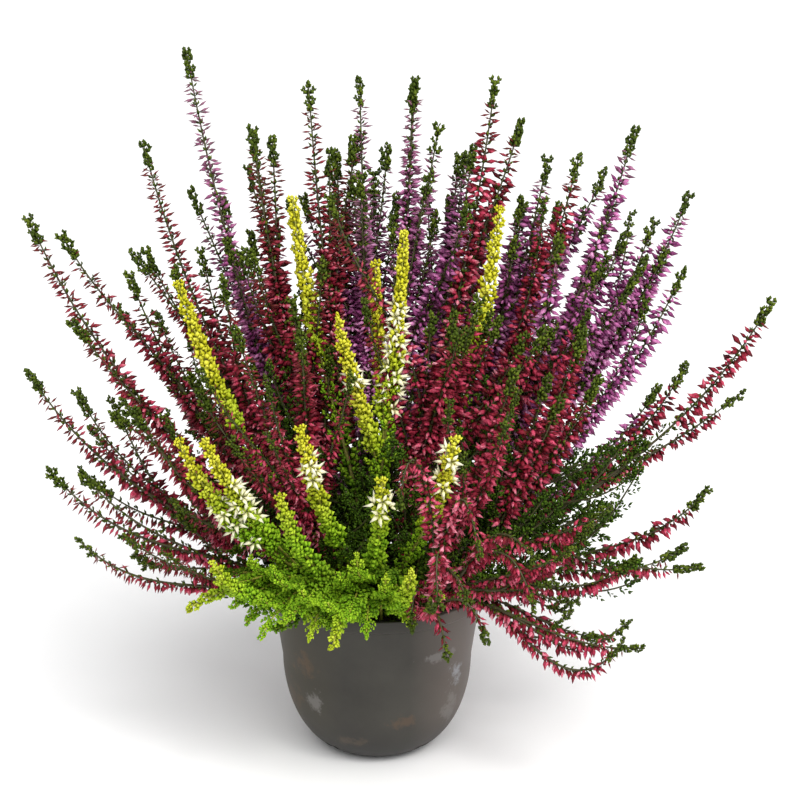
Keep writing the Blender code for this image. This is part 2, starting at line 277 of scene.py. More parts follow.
# Side stems whose tips stand out in the photograph, in millimetres: across, deep and high
CRIMSON_SIDE_TIPS = [
    (-151, 5, 262), (-114, 30, 249), (-65, 60, 253), (-89, 50, 245), (-52, 50, 301),
    (-12, 60, 300), (71, 40, 312), (124, -90, 88), (-118, -45, 193), (-117, -70, 136),
    (26, -122, 123), (-61, 45, 307), (-24, 60, 294), (93, -60, 94), (-64, -50, 229),
    (-80, -60, 213), (-35, -40, 226), (-60, 0, 256), (-5, -30, 238), (39, -45, 228),
    (49, -20, 236), (80, -30, 224), (99, -20, 221), (66, -60, 203), (87, -40, 193),
    (34, -80, 204), (-11, -60, 211), (-66, -70, 182), (-95, -60, 150), (109, 0, 191),
    (44, -30, 224), (59, -20, 227), (72, -20, 219), (86, -10, 221), (100, -10, 211),
    (65, -50, 210), (81, -40, 203), (107, -20, 197), (100, -80, 145), (90, -92, 138),
    (82, -98, 125), (110, -62, 148),
    (-37, 30, 228), (-28, 45, 214), (-47, 40, 210), (-63, 20, 196), (-23, 10, 204)]
CRIMSON_HANGING_TIPS = [
    (28, -130, 127), (46, -122, 147), (12, -114, 168), (33, -90, 84), (17, -96, 102),
    (72, -96, 112), (50, -96, 96)]
MAGENTA_SIDE_TIPS = [
    (31, 70, 304), (49, 75, 293), (-80, 80, 266), (19, 60, 330), (5, 95, 291), (42, 95, 286),
    (-45, 70, 265), (-25, 85, 256), (-2, 90, 266), (20, 92, 254), (38, 95, 264), (58, 90, 254),
    (76, 85, 262), (96, 75, 250), (118, 60, 240), (8, 50, 262), (30, 60, 262), (-12, 55, 280),
    (120, 75, 263), (128, 70, 250), (113, 60, 237), (138, 60, 239), (108, 85, 258), (94, 80, 262),
    (84, 85, 253), (144, 85, 253), (130, 50, 229), (149, 70, 241), (73, 70, 267), (118, 85, 279),
    (-23, 80, 277), (-16, 85, 258), (-2, 90, 278), (10, 85, 266),
    (26, 85, 270), (39, 90, 259), (-38, 70, 269), (-51, 60, 258)]
SAGGING_NODE = "crimson_stem_17"
SAGGING_SIDES = [(0.30, (118, -84, 99), 0.9), (0.42, (92, -66, 96), 0.7)]
LIME_SIDE_TIPS = [(0, -25, 255), (-17, -45, 233), (-76, -88, 187)]

# Fronds of the low mat: where each ends, in millimetres, and how far its end turns up
FROND_TIPS = [
    ((-46, -86, 125), 2.6), ((-8, -88, 132), 3.0), ((5, -88, 121), 2.6), ((-67, -70, 109), 1.6),
    ((-58, -70, 125), 2.2), ((-33, -92, 117), 2.2), ((-21, -94, 112), 1.6), ((15, -88, 109), 1.8),
    ((-75, -60, 114), 1.4), ((-16, -80, 121), 2.4), ((-52, -84, 110), 1.2), ((-30, -84, 91), -1.0),
    ((-52, -84, 92), -0.8), ((-60, -76, 95), -0.4), ((-66, -68, 100), -0.2), ((16, -88, 98), -0.3),
    ((-13, -100, 106), 0.2), ((-41, -94, 103), 0.0), ((-74, -70, 112), 0.4), ((30, -88, 112), 0.4),
    ((-4, -86, 92), -0.8)]

# Soil, wear and scuffs on the pot, and a painted highlight: centre and half size in millimetres,
# and colour
POT_SCUFFS_AND_HIGHLIGHT = [
    ((-38, -45, 55), (9, 20, 7), (0.10, 0.055, 0.022)),
    ((-42, -30, 30), (5, 20, 12), (0.075, 0.045, 0.020)),
    ((14, -42, 29), (7, 20, 4), (0.095, 0.055, 0.030)),
    ((-30, -42, 36), (4, 20, 5), (0.20, 0.19, 0.18)),
    ((-14, -38, 16), (8, 20, 3), (0.085, 0.060, 0.040)),
    # The pale bluish mark at the right shoulder is a painted highlight.
    ((39, -30, 49), (2.5, 20, 6), (0.32, 0.34, 0.37)),
    ((30, -40, 62), (9, 20, 2.5), (0.17, 0.16, 0.155)),
    ((36, -25, 30), (4, 20, 9), (0.16, 0.15, 0.14)),
    ((0, 46, 40), (14, 20, 5), (0.085, 0.070, 0.055)),
    ((-44, 20, 52), (8, 12, 5), (0.10, 0.06, 0.03)),
    ((44, 20, 35), (8, 14, 7), (0.15, 0.14, 0.13))]

# Cream flowers on lime stems: from and to, in millimetres from the tip, and the share left out
NODE_BLOOMS = {"lime_stem_03": (36, 92, 0.05), "lime_stem_05": (18, 40, 0.75),
               "lime_stem_06": (40, 74, 0.1), "lime_stem_08": (9, 26, 0.5),
               "lime_stem_09": (8, 34, 0.4)}
SIDE_BLOOMS = {(-76, -88, 187): (28, 60, 0.15), (-17, -45, 233): (26, 46, 0.3)}
NO_BLOOM = (0, 0, 1)


class Socket:
    """One output of a node. A sum with it adds Math nodes to its tree."""

    def __init__(self, graph, output):
        self.graph = graph
        self.output = output

    def also(self, name):
        """Another output of the same node."""
        found = [out for out in self.output.node.outputs if out.enabled and out.name == name]
        return Socket(self.graph, found[0])

    def __add__(self, other):
        return self.graph.maths("ADD", self, other)

    def __radd__(self, other):
        return self.graph.maths("ADD", other, self)

    def __sub__(self, other):
        return self.graph.maths("SUBTRACT", self, other)

    def __rsub__(self, other):
        return self.graph.maths("SUBTRACT", other, self)

    def __mul__(self, other):
        return self.graph.maths("MULTIPLY", self, other)

    def __rmul__(self, other):
        return self.graph.maths("MULTIPLY", other, self)

    def __truediv__(self, other):
        return self.graph.maths("DIVIDE", self, other)

    def __rtruediv__(self, other):
        return self.graph.maths("DIVIDE", other, self)

    def __mod__(self, other):
        return self.graph.maths("FLOORED_MODULO", self, other)

    def __gt__(self, other):
        return self.graph.maths("GREATER_THAN", self, other)

    def __lt__(self, other):
        return self.graph.maths("LESS_THAN", self, other)


class Graph:
    """Adds nodes to the tree of a material or of a geometry group."""

    def __init__(self, tree):
        self.tree = tree

    def add(self, kind, settings=None, values=None):
        """A node of a type, with its settings made first and then its sockets' values or links."""
        node = self.tree.nodes.new(kind)
        for name, value in (settings or {}).items():
            if name == "stops":
                self.set_stops(node.color_ramp, value)
            else:
                setattr(node, name, value)
        inputs = [socket for socket in node.inputs if socket.enabled]
        for key, value in (values or {}).items():
            if isinstance(key, int):
                self.feed(inputs[key], value)
            else:
                self.feed(next(socket for socket in inputs if socket.name == key), value)
        outputs = [socket for socket in node.outputs if socket.enabled]
        return Socket(self, outputs[0]) if outputs else node

    def feed(self, socket, value):
        if isinstance(value, Socket):
            self.tree.links.new(value.output, socket)
        elif isinstance(value, list):
            for part in value:
                self.tree.links.new(part.output, socket)
        elif socket.type == "RGBA" and len(value) == 3:
            socket.default_value = (*value, 1.0)
        else:
            socket.default_value = value

    def set_stops(self, ramp, stops):
        while len(ramp.elements) > 1:
            ramp.elements.remove(ramp.elements[-1])
        for number, (place, colour) in enumerate(stops):
            stop = ramp.elements[0] if number == 0 else ramp.elements.new(place)
            stop.position = place
            stop.color = (*colour, 1.0)

    def maths(self, operation, first, second=0.0, clamp=False):
        settings = {"operation": operation, "use_clamp": clamp}
        return self.add("ShaderNodeMath", settings, {0: first, 1: second})

    def of_one(self, operation, value):
        """Maths on one value, such as its sine."""
        return self.add("ShaderNodeMath", {"operation": operation}, {0: value})

    def ranged(self, value, low, high, start=0.0, end=1.0):
        """The value carried from one range to another, and held inside it."""
        values = {"Value": value, "From Min": low, "From Max": high, "To Min": start, "To Max": end}
        return self.add("ShaderNodeMapRange", {"clamp": True}, values)

    def mixed(self, share, first, second, blend="MIX"):
        settings = {"data_type": "RGBA", "blend_type": blend}
        return self.add("ShaderNodeMix", settings, {"Factor": share, "A": first, "B": second})

    def vector(self, operation, first, second=None):
        values = {0: first}
        if second is not None:
            values["Scale" if operation == "SCALE" else 1] = second
        return self.add("ShaderNodeVectorMath", {"operation": operation}, values)


# Geometry groups

def geometry_graph(name, inputs):
    """A geometry group with named inputs; its own input node is kept as graph.given."""
    tree = bpy.data.node_groups.new(name, "GeometryNodeTree")
    tree.interface.new_socket("Geometry", in_out="INPUT", socket_type="NodeSocketGeometry")
    for label, kind, value in inputs:
        socket = tree.interface.new_socket(label, in_out="INPUT", socket_type="NodeSocket" + kind)
        if value is not None:
            socket.default_value = value
    tree.interface.new_socket("Geometry", in_out="OUTPUT", socket_type="NodeSocketGeometry")
    graph = Graph(tree)
    graph.given = graph.add("NodeGroupInput")
    return graph


def close_graph(graph, result):
    graph.add("NodeGroupOutput", None, {"Geometry": result})
    return graph.tree


def named(graph, name, kind="FLOAT"):
    return graph.add("GeometryNodeInputNamedAttribute", {"data_type": kind}, {"Name": name})


def chance(graph, low, high, seed):
    return graph.add("FunctionNodeRandomValue", {"data_type": "FLOAT"},
                     {"Min": low, "Max": high, "Seed": seed})


def organs_group():
    """Buds or leaves round each path, ring by ring, in a zone measured from the path's tip."""
    graph = geometry_graph("organs_on_paths", [
        ("Organ", "Object", None), ("Material", "Material", None),
        ("Spacing", "Float", 3 * MM), ("Per ring", "Int", 2), ("Crosswise", "Float", 1.0),
        ("Zone start", "Float", 0.0), ("Zone end", "Float", 1.0),
        ("Splay", "Float", 1.0), ("Splay spread", "Float", 0.2),
        ("Droop", "Float", 0.0), ("Arching droop", "Float", 0.0), ("Turn spread", "Float", 0.3),
        ("Size at tip", "Float", 1.0), ("Size at foot", "Float", 1.0), ("Grown", "Float", 0.1),
        ("Slim at tip", "Float", 1.0), ("Size spread", "Float", 0.1), ("Missing", "Float", 0.0),
        ("Young missing", "Float", 0.0),
        ("Arching missing", "Float", 0.0), ("Seed", "Int", 0)])
    given = graph.given
    seed = given.also("Seed")
    points = graph.add("GeometryNodeCurveToPoints", {"mode": "LENGTH"},
                       {"Curve": given, "Length": given.also("Spacing")})
    rings = graph.add("GeometryNodeStoreNamedAttribute", {"data_type": "INT", "domain": "POINT"},
                      {"Geometry": points, "Name": "ring",
                       "Value": graph.add("GeometryNodeInputIndex")})
    count = given.also("Per ring")
    copies = graph.add("GeometryNodeDuplicateElements", {"domain": "POINT"},
                       {"Geometry": rings, "Amount": count})
    crosswise = (named(graph, "ring", "INT") % 2) * (math.pi / count) * given.also("Crosswise")
    spread = given.also("Turn spread")
    turn = copies.also("Duplicate Index") * (2 * math.pi / count)
    turn = turn + crosswise + named(graph, "roll") + spread * chance(graph, -1.0, 1.0, seed)
    ahead = graph.vector("NORMALIZE", named(graph, "ahead", "FLOAT_VECTOR"))
    outward = graph.add("ShaderNodeVectorRotate", {"rotation_type": "AXIS_ANGLE"},
                        {"Vector": points.also("Normal"), "Axis": ahead, "Angle": turn})
    splay = given.also("Splay") + given.also("Splay spread") * chance(graph, -1.0, 1.0, seed + 1)
    rise = graph.add("ShaderNodeSeparateXYZ", None, {"Vector": ahead}).also("Z")
    arching = 1 - graph.of_one("ABSOLUTE", rise)
    droop = given.also("Droop") + given.also("Arching droop") * arching
    sideways = graph.vector("SCALE", outward, graph.of_one("SINE", splay))
    onward = graph.vector("SCALE", ahead, graph.of_one("COSINE", splay))
    direction = graph.vector("ADD", sideways, onward)
    down = graph.vector("SCALE", (0.0, 0.0, -1.0), droop)
    direction = graph.vector("ADD", direction, down)
    turned = graph.add("FunctionNodeAlignRotationToVector", {"axis": "Z"}, {"Vector": direction})
    turned = graph.add("FunctionNodeAlignRotationToVector", {"axis": "Y", "pivot_axis": "Z"},
                       {"Rotation": turned, "Vector": ahead})
    from_tip = named(graph, "from_tip")
    start = given.also("Zone start")
    end = given.also("Zone end")
    kept = (from_tip > start) * (from_tip < end)
    share = graph.ranged(from_tip, start, start + given.also("Grown"))
    missing = given.also("Missing") + given.also("Arching missing") * arching
    missing = missing + given.also("Young missing") * (1 - share)
    kept = kept * (chance(graph, 0.0, 1.0, seed + 2) > missing)
    tip_size = given.also("Size at tip")
    growth = graph.maths("POWER", share, GROWTH_CURVE)
    size = tip_size + (given.also("Size at foot") - tip_size) * growth
    size = size * (1 + given.also("Size spread") * chance(graph, -1.0, 1.0, seed + 3))
    size = size * named(graph, "vigour")
    slim = given.also("Slim at tip")
    slim = slim + (1 - slim) * share
    girth = graph.add("ShaderNodeCombineXYZ", None, {"X": slim, "Y": slim, "Z": 1.0})
    shaded = graph.add("GeometryNodeStoreNamedAttribute", {"data_type": "FLOAT", "domain": "POINT"},
                       {"Geometry": copies, "Name": "shade",
                        "Value": chance(graph, 0.0, 1.0, seed + 4)})
    organ = graph.add("GeometryNodeObjectInfo", {"transform_space": "ORIGINAL"},
                      {"Object": given.also("Organ")}).also("Geometry")
    placed = graph.add("GeometryNodeInstanceOnPoints", None,
                       {"Points": shaded, "Selection": kept, "Instance": organ,
                        "Rotation": turned, "Scale": graph.vector("SCALE", girth, size)})
    solid = graph.add("GeometryNodeRealizeInstances", None, {"Geometry": placed})
    return close_graph(graph, graph.add("GeometryNodeSetMaterial", None,
                                        {"Geometry": solid, "Material": given.also("Material")}))


class Layer:
    """One kind of organ along a stem. A size may be the name of a value that a stem carries."""

    def __init__(self, organ, material, **sizes):
        self.organ = organ
        self.material = material
        self.sizes = {name.replace("_", " ").capitalize(): value for name, value in sizes.items()}


def stem_tree(name, organs, layers, bark):
    """A tree that gives each path its stem and its layers of organs."""
    graph = geometry_graph(name, [("Seed", "Int", 0), ("Stem sides", "Int", 5)])
    paths = graph.add("GeometryNodeMeshToCurve", None, {"Mesh": graph.given})
    ring = graph.add("GeometryNodeCurvePrimitiveCircle", None,
                     {"Resolution": graph.given.also("Stem sides"), "Radius": 1.0})
    tube = graph.add("GeometryNodeCurveToMesh", None,
                     {"Curve": paths, "Profile Curve": ring, "Scale": named(graph, "radius"),
                      "Fill Caps": True})
    parts = [graph.add("GeometryNodeSetMaterial", None, {"Geometry": tube, "Material": bark})]
    for number, layer in enumerate(layers):
        values = {"Geometry": paths, "Organ": layer.organ, "Material": layer.material,
                  "Seed": graph.given.also("Seed") + 10 * number}
        for label, value in layer.sizes.items():
            values[label] = named(graph, value) if isinstance(value, str) else value
        parts.append(graph.add("GeometryNodeGroup", {"node_tree": organs}, values))
    joined = graph.add("GeometryNodeJoinGeometry", None, {"Geometry": parts})
    smooth = graph.add("GeometryNodeSetShadeSmooth", None, {"Geometry": joined})
    return close_graph(graph, graph.add("GeometryNodeRealizeInstances", None,
                                        {"Geometry": smooth}))


def keep_result(thing, tree, values):
    """Runs a geometry tree on an object and keeps what comes out as its plain mesh."""
    modifier = thing.modifiers.new("Growth", "NODES")
    modifier.node_group = tree
    for item in tree.interface.items_tree:
        if item.in_out == "INPUT" and item.name in values:
            modifier[item.identifier] = values[item.name]
    graph = bpy.context.evaluated_depsgraph_get()
    mesh = bpy.data.meshes.new_from_object(thing.evaluated_get(graph))
    thing.modifiers.remove(modifier)
    thing.data = mesh
    mesh.name = thing.name


# Materials

def material_graph(name):
    """A material with one Principled shader, kept as graph.shader."""
    material = bpy.data.materials.new(name)
    material.use_nodes = True
    graph = Graph(material.node_tree)
    graph.material = material
    graph.shader = material.node_tree.nodes["Principled BSDF"]
    return graph


def finish_material(graph, values):
    for name, value in values.items():
        graph.feed(graph.shader.inputs[name], value)
    return graph.material


def own(graph, name):
    """A number that the piece's own points carry."""
    return graph.add("ShaderNodeAttribute", {"attribute_name": name}).also("Fac")


def noise_at(graph, scale, detail=2.0, roughness=0.5):
    place = graph.add("ShaderNodeTexCoord").also("Object")
    return graph.add("ShaderNodeTexNoise", None,
                     {"Vector": place, "Scale": scale, "Detail": detail, "Roughness": roughness})


def bumped(graph, height, strength, distance):
    return graph.add("ShaderNodeBump", None,
                     {"Height": height, "Strength": strength, "Distance": distance})


def bud_material(name, stops, base, pale, young):
    """Buds: a dull base, a streaked body, brighter further down, and a pale or dark point."""
    graph = material_graph(name)
    along = own(graph, "along")
    shade = own(graph, "shade")
    grain = noise_at(graph, 1100.0)
    older = graph.ranged(own(graph, "from_tip"), 0.02, 0.13)
    # Brightness that varies from bud to bud and in streaks: partly the buds' own colour, partly
    # painted shade and painted highlight.
    bright = graph.maths("ADD", 0.4 * own(graph, "tone") + 0.62 * shade + 0.2 * older
                         + 0.7 * (grain - 0.5) - 0.16, 0.0, clamp=True)
    body = graph.add("ShaderNodeValToRGB", {"stops": stops}, {"Fac": bright})
    foot = graph.ranged(along, 0.15, 0.5, 1.0, 0.0)
    colour = graph.mixed(foot, body, base)
    point = graph.ranged(along, 0.6, 1.0, 0.0, 0.8)
    colour = graph.mixed(point * (shade < 0.45), colour, stops[0][1])
    # Pale points: partly the colour of opening petals, partly a painted highlight.
    colour = graph.mixed(point * (shade > 0.62) * older, colour, pale)
    fresh = graph.ranged(own(graph, "from_tip"), 0.012, own(graph, "youth"), 0.8, 0.0)
    colour = graph.mixed(fresh, colour, young)
    return finish_material(graph, {"Base Color": colour, "Roughness": 0.6 - 0.2 * grain,
                                   "Specular IOR Level": 0.15})


def leaf_material(name, dark, middle, light, aged):
    """Scale leaves: dark where they leave the stem, lighter at their ends, browner far down."""
    graph = material_graph(name)
    bright = graph.maths("ADD", 0.5 * own(graph, "along") + 0.35 * own(graph, "shade")
                         + 0.3 * noise_at(graph, 400.0) - 0.1, 0.0, clamp=True)
    body = graph.add("ShaderNodeValToRGB", {"stops": [(0.0, dark), (0.55, middle), (1.0, light)]},
                     {"Fac": bright})
    age = graph.ranged(own(graph, "from_tip"), 0.11, 0.26, 0.0, 0.75)
    colour = graph.mixed(age, body, aged)
    return finish_material(graph, {"Base Color": colour, "Roughness": 0.5 + 0.2 * bright,
                                   "Specular IOR Level": 0.15})


def lime_material(name):
    """Lime heather: yellow at the tips, then a fresh green, and a dull green far down."""
    graph = material_graph(name)
    from_tip = own(graph, "from_tip")
    grain = noise_at(graph, 500.0)
    bright = graph.maths("ADD", 0.6 * own(graph, "along") + 0.35 * own(graph, "shade")
                         + 0.3 * (grain - 0.5), 0.0, clamp=True)
    yellow = [(0.0, (0.22, 0.21, 0.004)), (0.5, (0.55, 0.53, 0.018)), (1.0, (0.82, 0.79, 0.11))]
    green = [(0.0, (0.04, 0.11, 0.003)), (0.55, (0.19, 0.38, 0.010)), (1.0, (0.46, 0.66, 0.03))]
    dull = [(0.0, (0.015, 0.04, 0.003)), (0.55, (0.05, 0.12, 0.008)), (1.0, (0.16, 0.25, 0.02))]
    high = graph.add("ShaderNodeValToRGB", {"stops": yellow}, {"Fac": bright})
    middle = graph.add("ShaderNodeValToRGB", {"stops": green}, {"Fac": bright})
    low = graph.add("ShaderNodeValToRGB", {"stops": dull}, {"Fac": bright})
    reached = from_tip + 0.02 * grain + 0.065 * own(graph, "green")
    colour = graph.mixed(graph.ranged(reached, 0.055, 0.105), high, middle)
    colour = graph.mixed(graph.ranged(reached, 0.11, 0.19, 0.0, 0.9), colour, low)
    return finish_material(graph, {"Base Color": colour, "Roughness": 0.55 + 0.15 * grain,
                                   "Specular IOR Level": 0.12})


def petal_material(name):
    graph = material_graph(name)
    along = own(graph, "along")
    bright = graph.maths("ADD", along * 0.8 + 0.3 * own(graph, "shade"), 0.0, clamp=True)
    stops = [(0.0, (0.50, 0.52, 0.10)), (0.35, (0.86, 0.83, 0.48)), (1.0, (0.95, 0.92, 0.74))]
    colour = graph.add("ShaderNodeValToRGB", {"stops": stops}, {"Fac": bright})
    return finish_material(graph, {"Base Color": colour, "Roughness": 0.5 + 0.1 * along})


def bark_material(name, dark, light, young):
    graph = material_graph(name)
    grain = noise_at(graph, 700.0, 4.0)
    colour = graph.mixed(grain, dark, light)
    fresh = graph.ranged(own(graph, "from_tip"), 0.02, 0.16, 1.0, 0.0)
    colour = graph.mixed(fresh, colour, young)
    return finish_material(graph, {"Base Color": colour, "Roughness": 0.75 - 0.15 * grain,
                                   "Normal": bumped(graph, grain, 0.5, 0.0003)})


def scuff_and_highlight_cover(graph, centre, size, ragged):
    """How much a rubbed or dirty place, or the painted highlight, covers on the pot: 1 in its
    middle, with a ragged edge.
    """
    place = graph.add("ShaderNodeTexCoord").also("Object")
    offset = graph.vector("SUBTRACT", place, tuple(value * MM for value in centre))
    scaled = graph.vector("MULTIPLY", offset, tuple(1 / (value * MM) for value in size))
    away = graph.vector("LENGTH", scaled).also("Value") + MARK_RAGGED * (ragged - 0.5)
    return graph.ranged(away, *MARK_EDGE, 1.0, 0.0)


def pot_material():
    """Dark grey plastic: browner at the left, with soil, scuffs and a painted highlight, painted
    light at the right and painted shade at the foot.
    """
    graph = material_graph("pot_plastic")
    cloud = noise_at(graph, 26.0, 5.0, 0.6)
    ragged = noise_at(graph, 190.0, 6.0, 0.75)
    fine = noise_at(graph, 900.0, 3.0, 0.6)
    place = graph.add("ShaderNodeTexCoord").also("Object")
    across = graph.add("ShaderNodeSeparateXYZ", None, {"Vector": place})
    high = across.also("Z")
    clouded = graph.ranged(cloud, 0.3, 0.7)
    colour = graph.mixed(clouded, (0.021, 0.019, 0.015), (0.042, 0.039, 0.032))
    # Painted light: paler towards the right, the side that the key lamp lights.
    right = graph.ranged(across, 0.016, 0.050, 0.0, 0.75)
    colour = graph.mixed(right, colour, (0.150, 0.118, 0.102))
    left = graph.ranged(across, -0.05, -0.016, 0.85, 0.0)
    colour = graph.mixed(left, colour, (0.042, 0.034, 0.016))
    # Painted shade: darker towards the bottom, where the rounded foot faces the floor.
    foot = graph.ranged(high, 0.0, 0.028, 0.75, 0.0)
    colour = graph.mixed(foot, colour, (0.012, 0.011, 0.010))
    # Soil, scuffs and the painted highlight over the pot's colour.
    for centre, size, shade in POT_SCUFFS_AND_HIGHLIGHT:
        colour = graph.mixed(MARK_COVER * scuff_and_highlight_cover(graph, centre, size, ragged), colour, shade)
    rough = 0.42 + 0.25 * cloud
    return finish_material(graph, {"Base Color": colour, "Roughness": rough,
                                   "Specular IOR Level": 0.35,
                                   "Normal": bumped(graph, fine, 0.15, 0.0002)})


def soil_material():
    graph = material_graph("potting_mix")
    lumps = noise_at(graph, 260.0, 6.0, 0.65)
    colour = graph.mixed(graph.ranged(lumps, 0.3, 0.7), (0.012, 0.008, 0.005), (0.09, 0.055, 0.03))
    return finish_material(graph, {"Base Color": colour, "Roughness": 0.8 + 0.15 * lumps,
                                   "Normal": bumped(graph, lumps, 0.8, 0.0015)})


def floor_material():
    graph = material_graph("pale_floor")
    grain = noise_at(graph, 3.0)
    colour = graph.mixed(grain, (0.93, 0.93, 0.93), (0.96, 0.96, 0.96))
    return finish_material(graph, {"Base Color": colour, "Roughness": 0.9 - 0.1 * grain})


# Organs: small shapes that stand along +Z from where they are carried, their inner side to +Y

def new_work():
    work = bmesh.new()
    work.verts.layers.float.new("along")
    return work


def add_spindle(work, start, axis, inner, length, rings, sides, bend=0.0):
    """A pointed closed body: rings are (share of the length, half width, half depth)."""
    along = work.verts.layers.float["along"]
    across = axis.cross(inner).normalized()
    inner = across.cross(axis).normalized()

    def put(share, wide, deep):
        centre = start + axis * (share * length) + inner * (bend * length * share * share)
        vertex = work.verts.new(centre + across * wide + inner * deep)
        vertex[along] = share
        return vertex

    foot = put(0.0, 0.0, 0.0)
    loops = []
    for share, wide, deep in rings:
        angles = [2 * math.pi * number / sides for number in range(sides)]
        loops.append([put(share, wide * math.cos(a), deep * math.sin(a)) for a in angles])
    tip = put(1.0, 0.0, 0.0)
    for number in range(sides):
        after = (number + 1) % sides
        work.faces.new((foot, loops[0][after], loops[0][number]))
        for lower, upper in zip(loops, loops[1:]):
            work.faces.new((lower[number], lower[after], upper[after], upper[number]))
        work.faces.new((loops[-1][number], loops[-1][after], tip))


def organ_object(name, work):
    """An organ's object, which stays outside the scene's collections."""
    bmesh.ops.recalc_face_normals(work, faces=work.faces)
    bmesh.ops.triangulate(work, faces=work.faces)
    mesh = bpy.data.meshes.new(name)
    work.to_mesh(mesh)
    work.free()
    return bpy.data.objects.new(name, mesh)


def make_bud(length, width):
    """A closed bud: a spearhead that starts thin at the stem's middle."""
    work = new_work()
    rings = [(0.55, 0.5 * width, 0.5 * width)]
    add_spindle(work, Vector(), Vector((0, 0, 1)), Vector((0, 1, 0)), length, rings, sides=4,
                bend=0.06)
    return organ_object("bud", work)


def add_leaf(work, start, axis, inner, length, width, bend=0.18, widest=0.55):
    rings = [(widest, 0.5 * width, LEAF_DEPTH * width)]
    add_spindle(work, start, axis, inner, length, rings, sides=3, bend=bend)


def make_leaf(name, length, width):
    work = new_work()
    add_leaf(work, Vector(), Vector((0, 0, 1)), Vector((0, 1, 0)), length, width)
    return organ_object(name, work)


def make_shoot(name, length, pairs, leaf, width, splay, bend=0.15):
    """A short leafy shoot: crosswise pairs of leaves, splayed in degrees, and an end leaf."""
    work = new_work()
    splay = math.radians(splay)
    for number in range(pairs):
        share = (number + SHOOT_START) / pairs
        centre = Vector((0, bend * length * share * share, share * length))
        axis = Vector((0, 2 * bend * share, 1)).normalized()
        size = leaf * (1.0 - SHOOT_TAPER * share)
        thin = width * (1 - SHOOT_THINNING * share)
        for side in (0, 1):
            turn = math.pi * side + math.pi / 2 * (number % 2)
            out = Vector((math.cos(turn), math.sin(turn), 0))
            lean = axis * math.cos(splay) + out * math.sin(splay)
            add_leaf(work, centre, lean.normalized(), axis, size, thin)
    top = Vector((0, bend * length, length)) - Vector((0, 0, END_LEAF_SINK * leaf))
    lean = Vector((0, END_LEAF_LEAN, 1)).normalized()
    add_leaf(work, top, lean, Vector((0, 1, 0)), END_LEAF_SIZE * leaf, width)
    return organ_object(name, work)


def make_star(length, width):
    """An open cream flower: five long pointed sepals."""
    work = new_work()
    up = Vector((0, 0, 1))
    for number in range(SEPALS):
        turn = 2 * math.pi * number / SEPALS
        out = Vector((math.cos(turn), math.sin(turn), 0))
        lean = up * math.cos(SEPAL_SPLAY) + out * math.sin(SEPAL_SPLAY)
        add_leaf(work, up * SEPAL_START * length, lean, up, length, width, bend=0.12, widest=0.42)
    return organ_object("star", work)


# Lines that stems follow

def bezier(p0, p1, p2, p3, count):
    share = np.linspace(0.0, 1.0, count)[:, None]
    rest = 1 - share
    return rest**3 * p0 + 3 * rest**2 * share * p1 + 3 * rest * share**2 * p2 + share**3 * p3


def arc_lengths(line):
    steps = np.sqrt(((line[1:] - line[:-1]) ** 2).sum(axis=1))
    return np.concatenate([[0.0], np.cumsum(steps)])


def resampled(line, step):
    along = arc_lengths(line)
    count = max(FEWEST_POINTS, round(along[-1] / step))
    wanted = np.linspace(0.0, along[-1], count)
    return np.stack([np.interp(wanted, along, line[:, axis]) for axis in range(3)], axis=1)


def smoothed(line, rounds):
    for _ in range(rounds):
        line = line.copy()
        line[1:-1] = 0.5 * line[1:-1] + 0.25 * (line[2:] + line[:-2])
    return line


def rounded(place):
    return tuple(round(value, PLACE_DIGITS) for value in place)


def middle_line(node):
    """The middle of a packed stem, ring by ring from its foot to its tip."""
    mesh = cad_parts[node].data
    numbers = {}
    for vertex in mesh.vertices:
        numbers.setdefault(rounded(vertex.co), len(numbers))
    places = np.array(list(numbers))
    beside = [set() for _ in numbers]
    for face in mesh.polygons:
        corners = [numbers[rounded(mesh.vertices[index].co)] for index in face.vertices]
        for corner in corners:
            beside[corner].update(corners)
    inside = np.hypot(places[:, 0], places[:, 1]) < SHOULDER_RADIUS
    ring = {int(np.argmin(np.where(inside, places[:, 2], math.inf)))}
    seen = set(ring)
    middles = []
    while ring:
        middles.append(places[sorted(ring)].mean(axis=0))
        ring = set().union(*(beside[corner] for corner in ring)) - seen
        seen |= ring
    return smoothed(resampled(np.array(middles), LINE_STEP), LINE_SMOOTHING)


def unit(vector):
    return vector / max(np.linalg.norm(vector), 1e-9)


class Stem:
    """A line from foot to tip, with what grows along it."""

    def __init__(self, line, tip, spike, tone, foot, roll, vigour=1.0, share=SPIKE_SHARE):
        self.line = line
        self.along = arc_lengths(line)
        self.length = self.along[-1]
        self.tip = tip
        self.spike_end = tip + min(spike, share * self.length)
        self.tone = tone
        self.foot = foot
        self.roll = roll
        self.vigour = vigour
        self.green = min(1.0, max(0.0, (GREEN_BELOW - line[-1][2]) / GREEN_FADE))
        self.bloom = NO_BLOOM
        across, _, high = line[-1] / MM
        youth = YOUTH + TALL_YOUTH * max(0.0, high - TALL_FROM)
        youth += LEFT_YOUTH * max(0.0, LEFT_FROM - across)
        right = min(1.0, max(0.0, across / RIGHT_FULLY))
        self.youth = youth * (1 - (1 - RIGHT_YOUTH) * right)
        self.cut = 0.0

    def at(self, share):
        wanted = share * self.length
        return np.array([np.interp(wanted, self.along, self.line[:, axis]) for axis in range(3)])

    def ahead(self, share):
        after = self.at(min(share + AHEAD_STEP, 1.0))
        return unit(after - self.at(max(share - AHEAD_STEP, 0.0)))


def side_line(stem, share, tip, end, pull=SIDE_PULL):
    """A side stem's line: it leaves along its stem and bends to its own tip."""
    start = stem.at(share)
    reach = np.linalg.norm(tip - start)
    first = start + stem.ahead(share) * pull * reach
    last = tip - unit(end) * pull * reach
    return resampled(bezier(start, first, last, tip, LINE_POINTS), LINE_STEP)


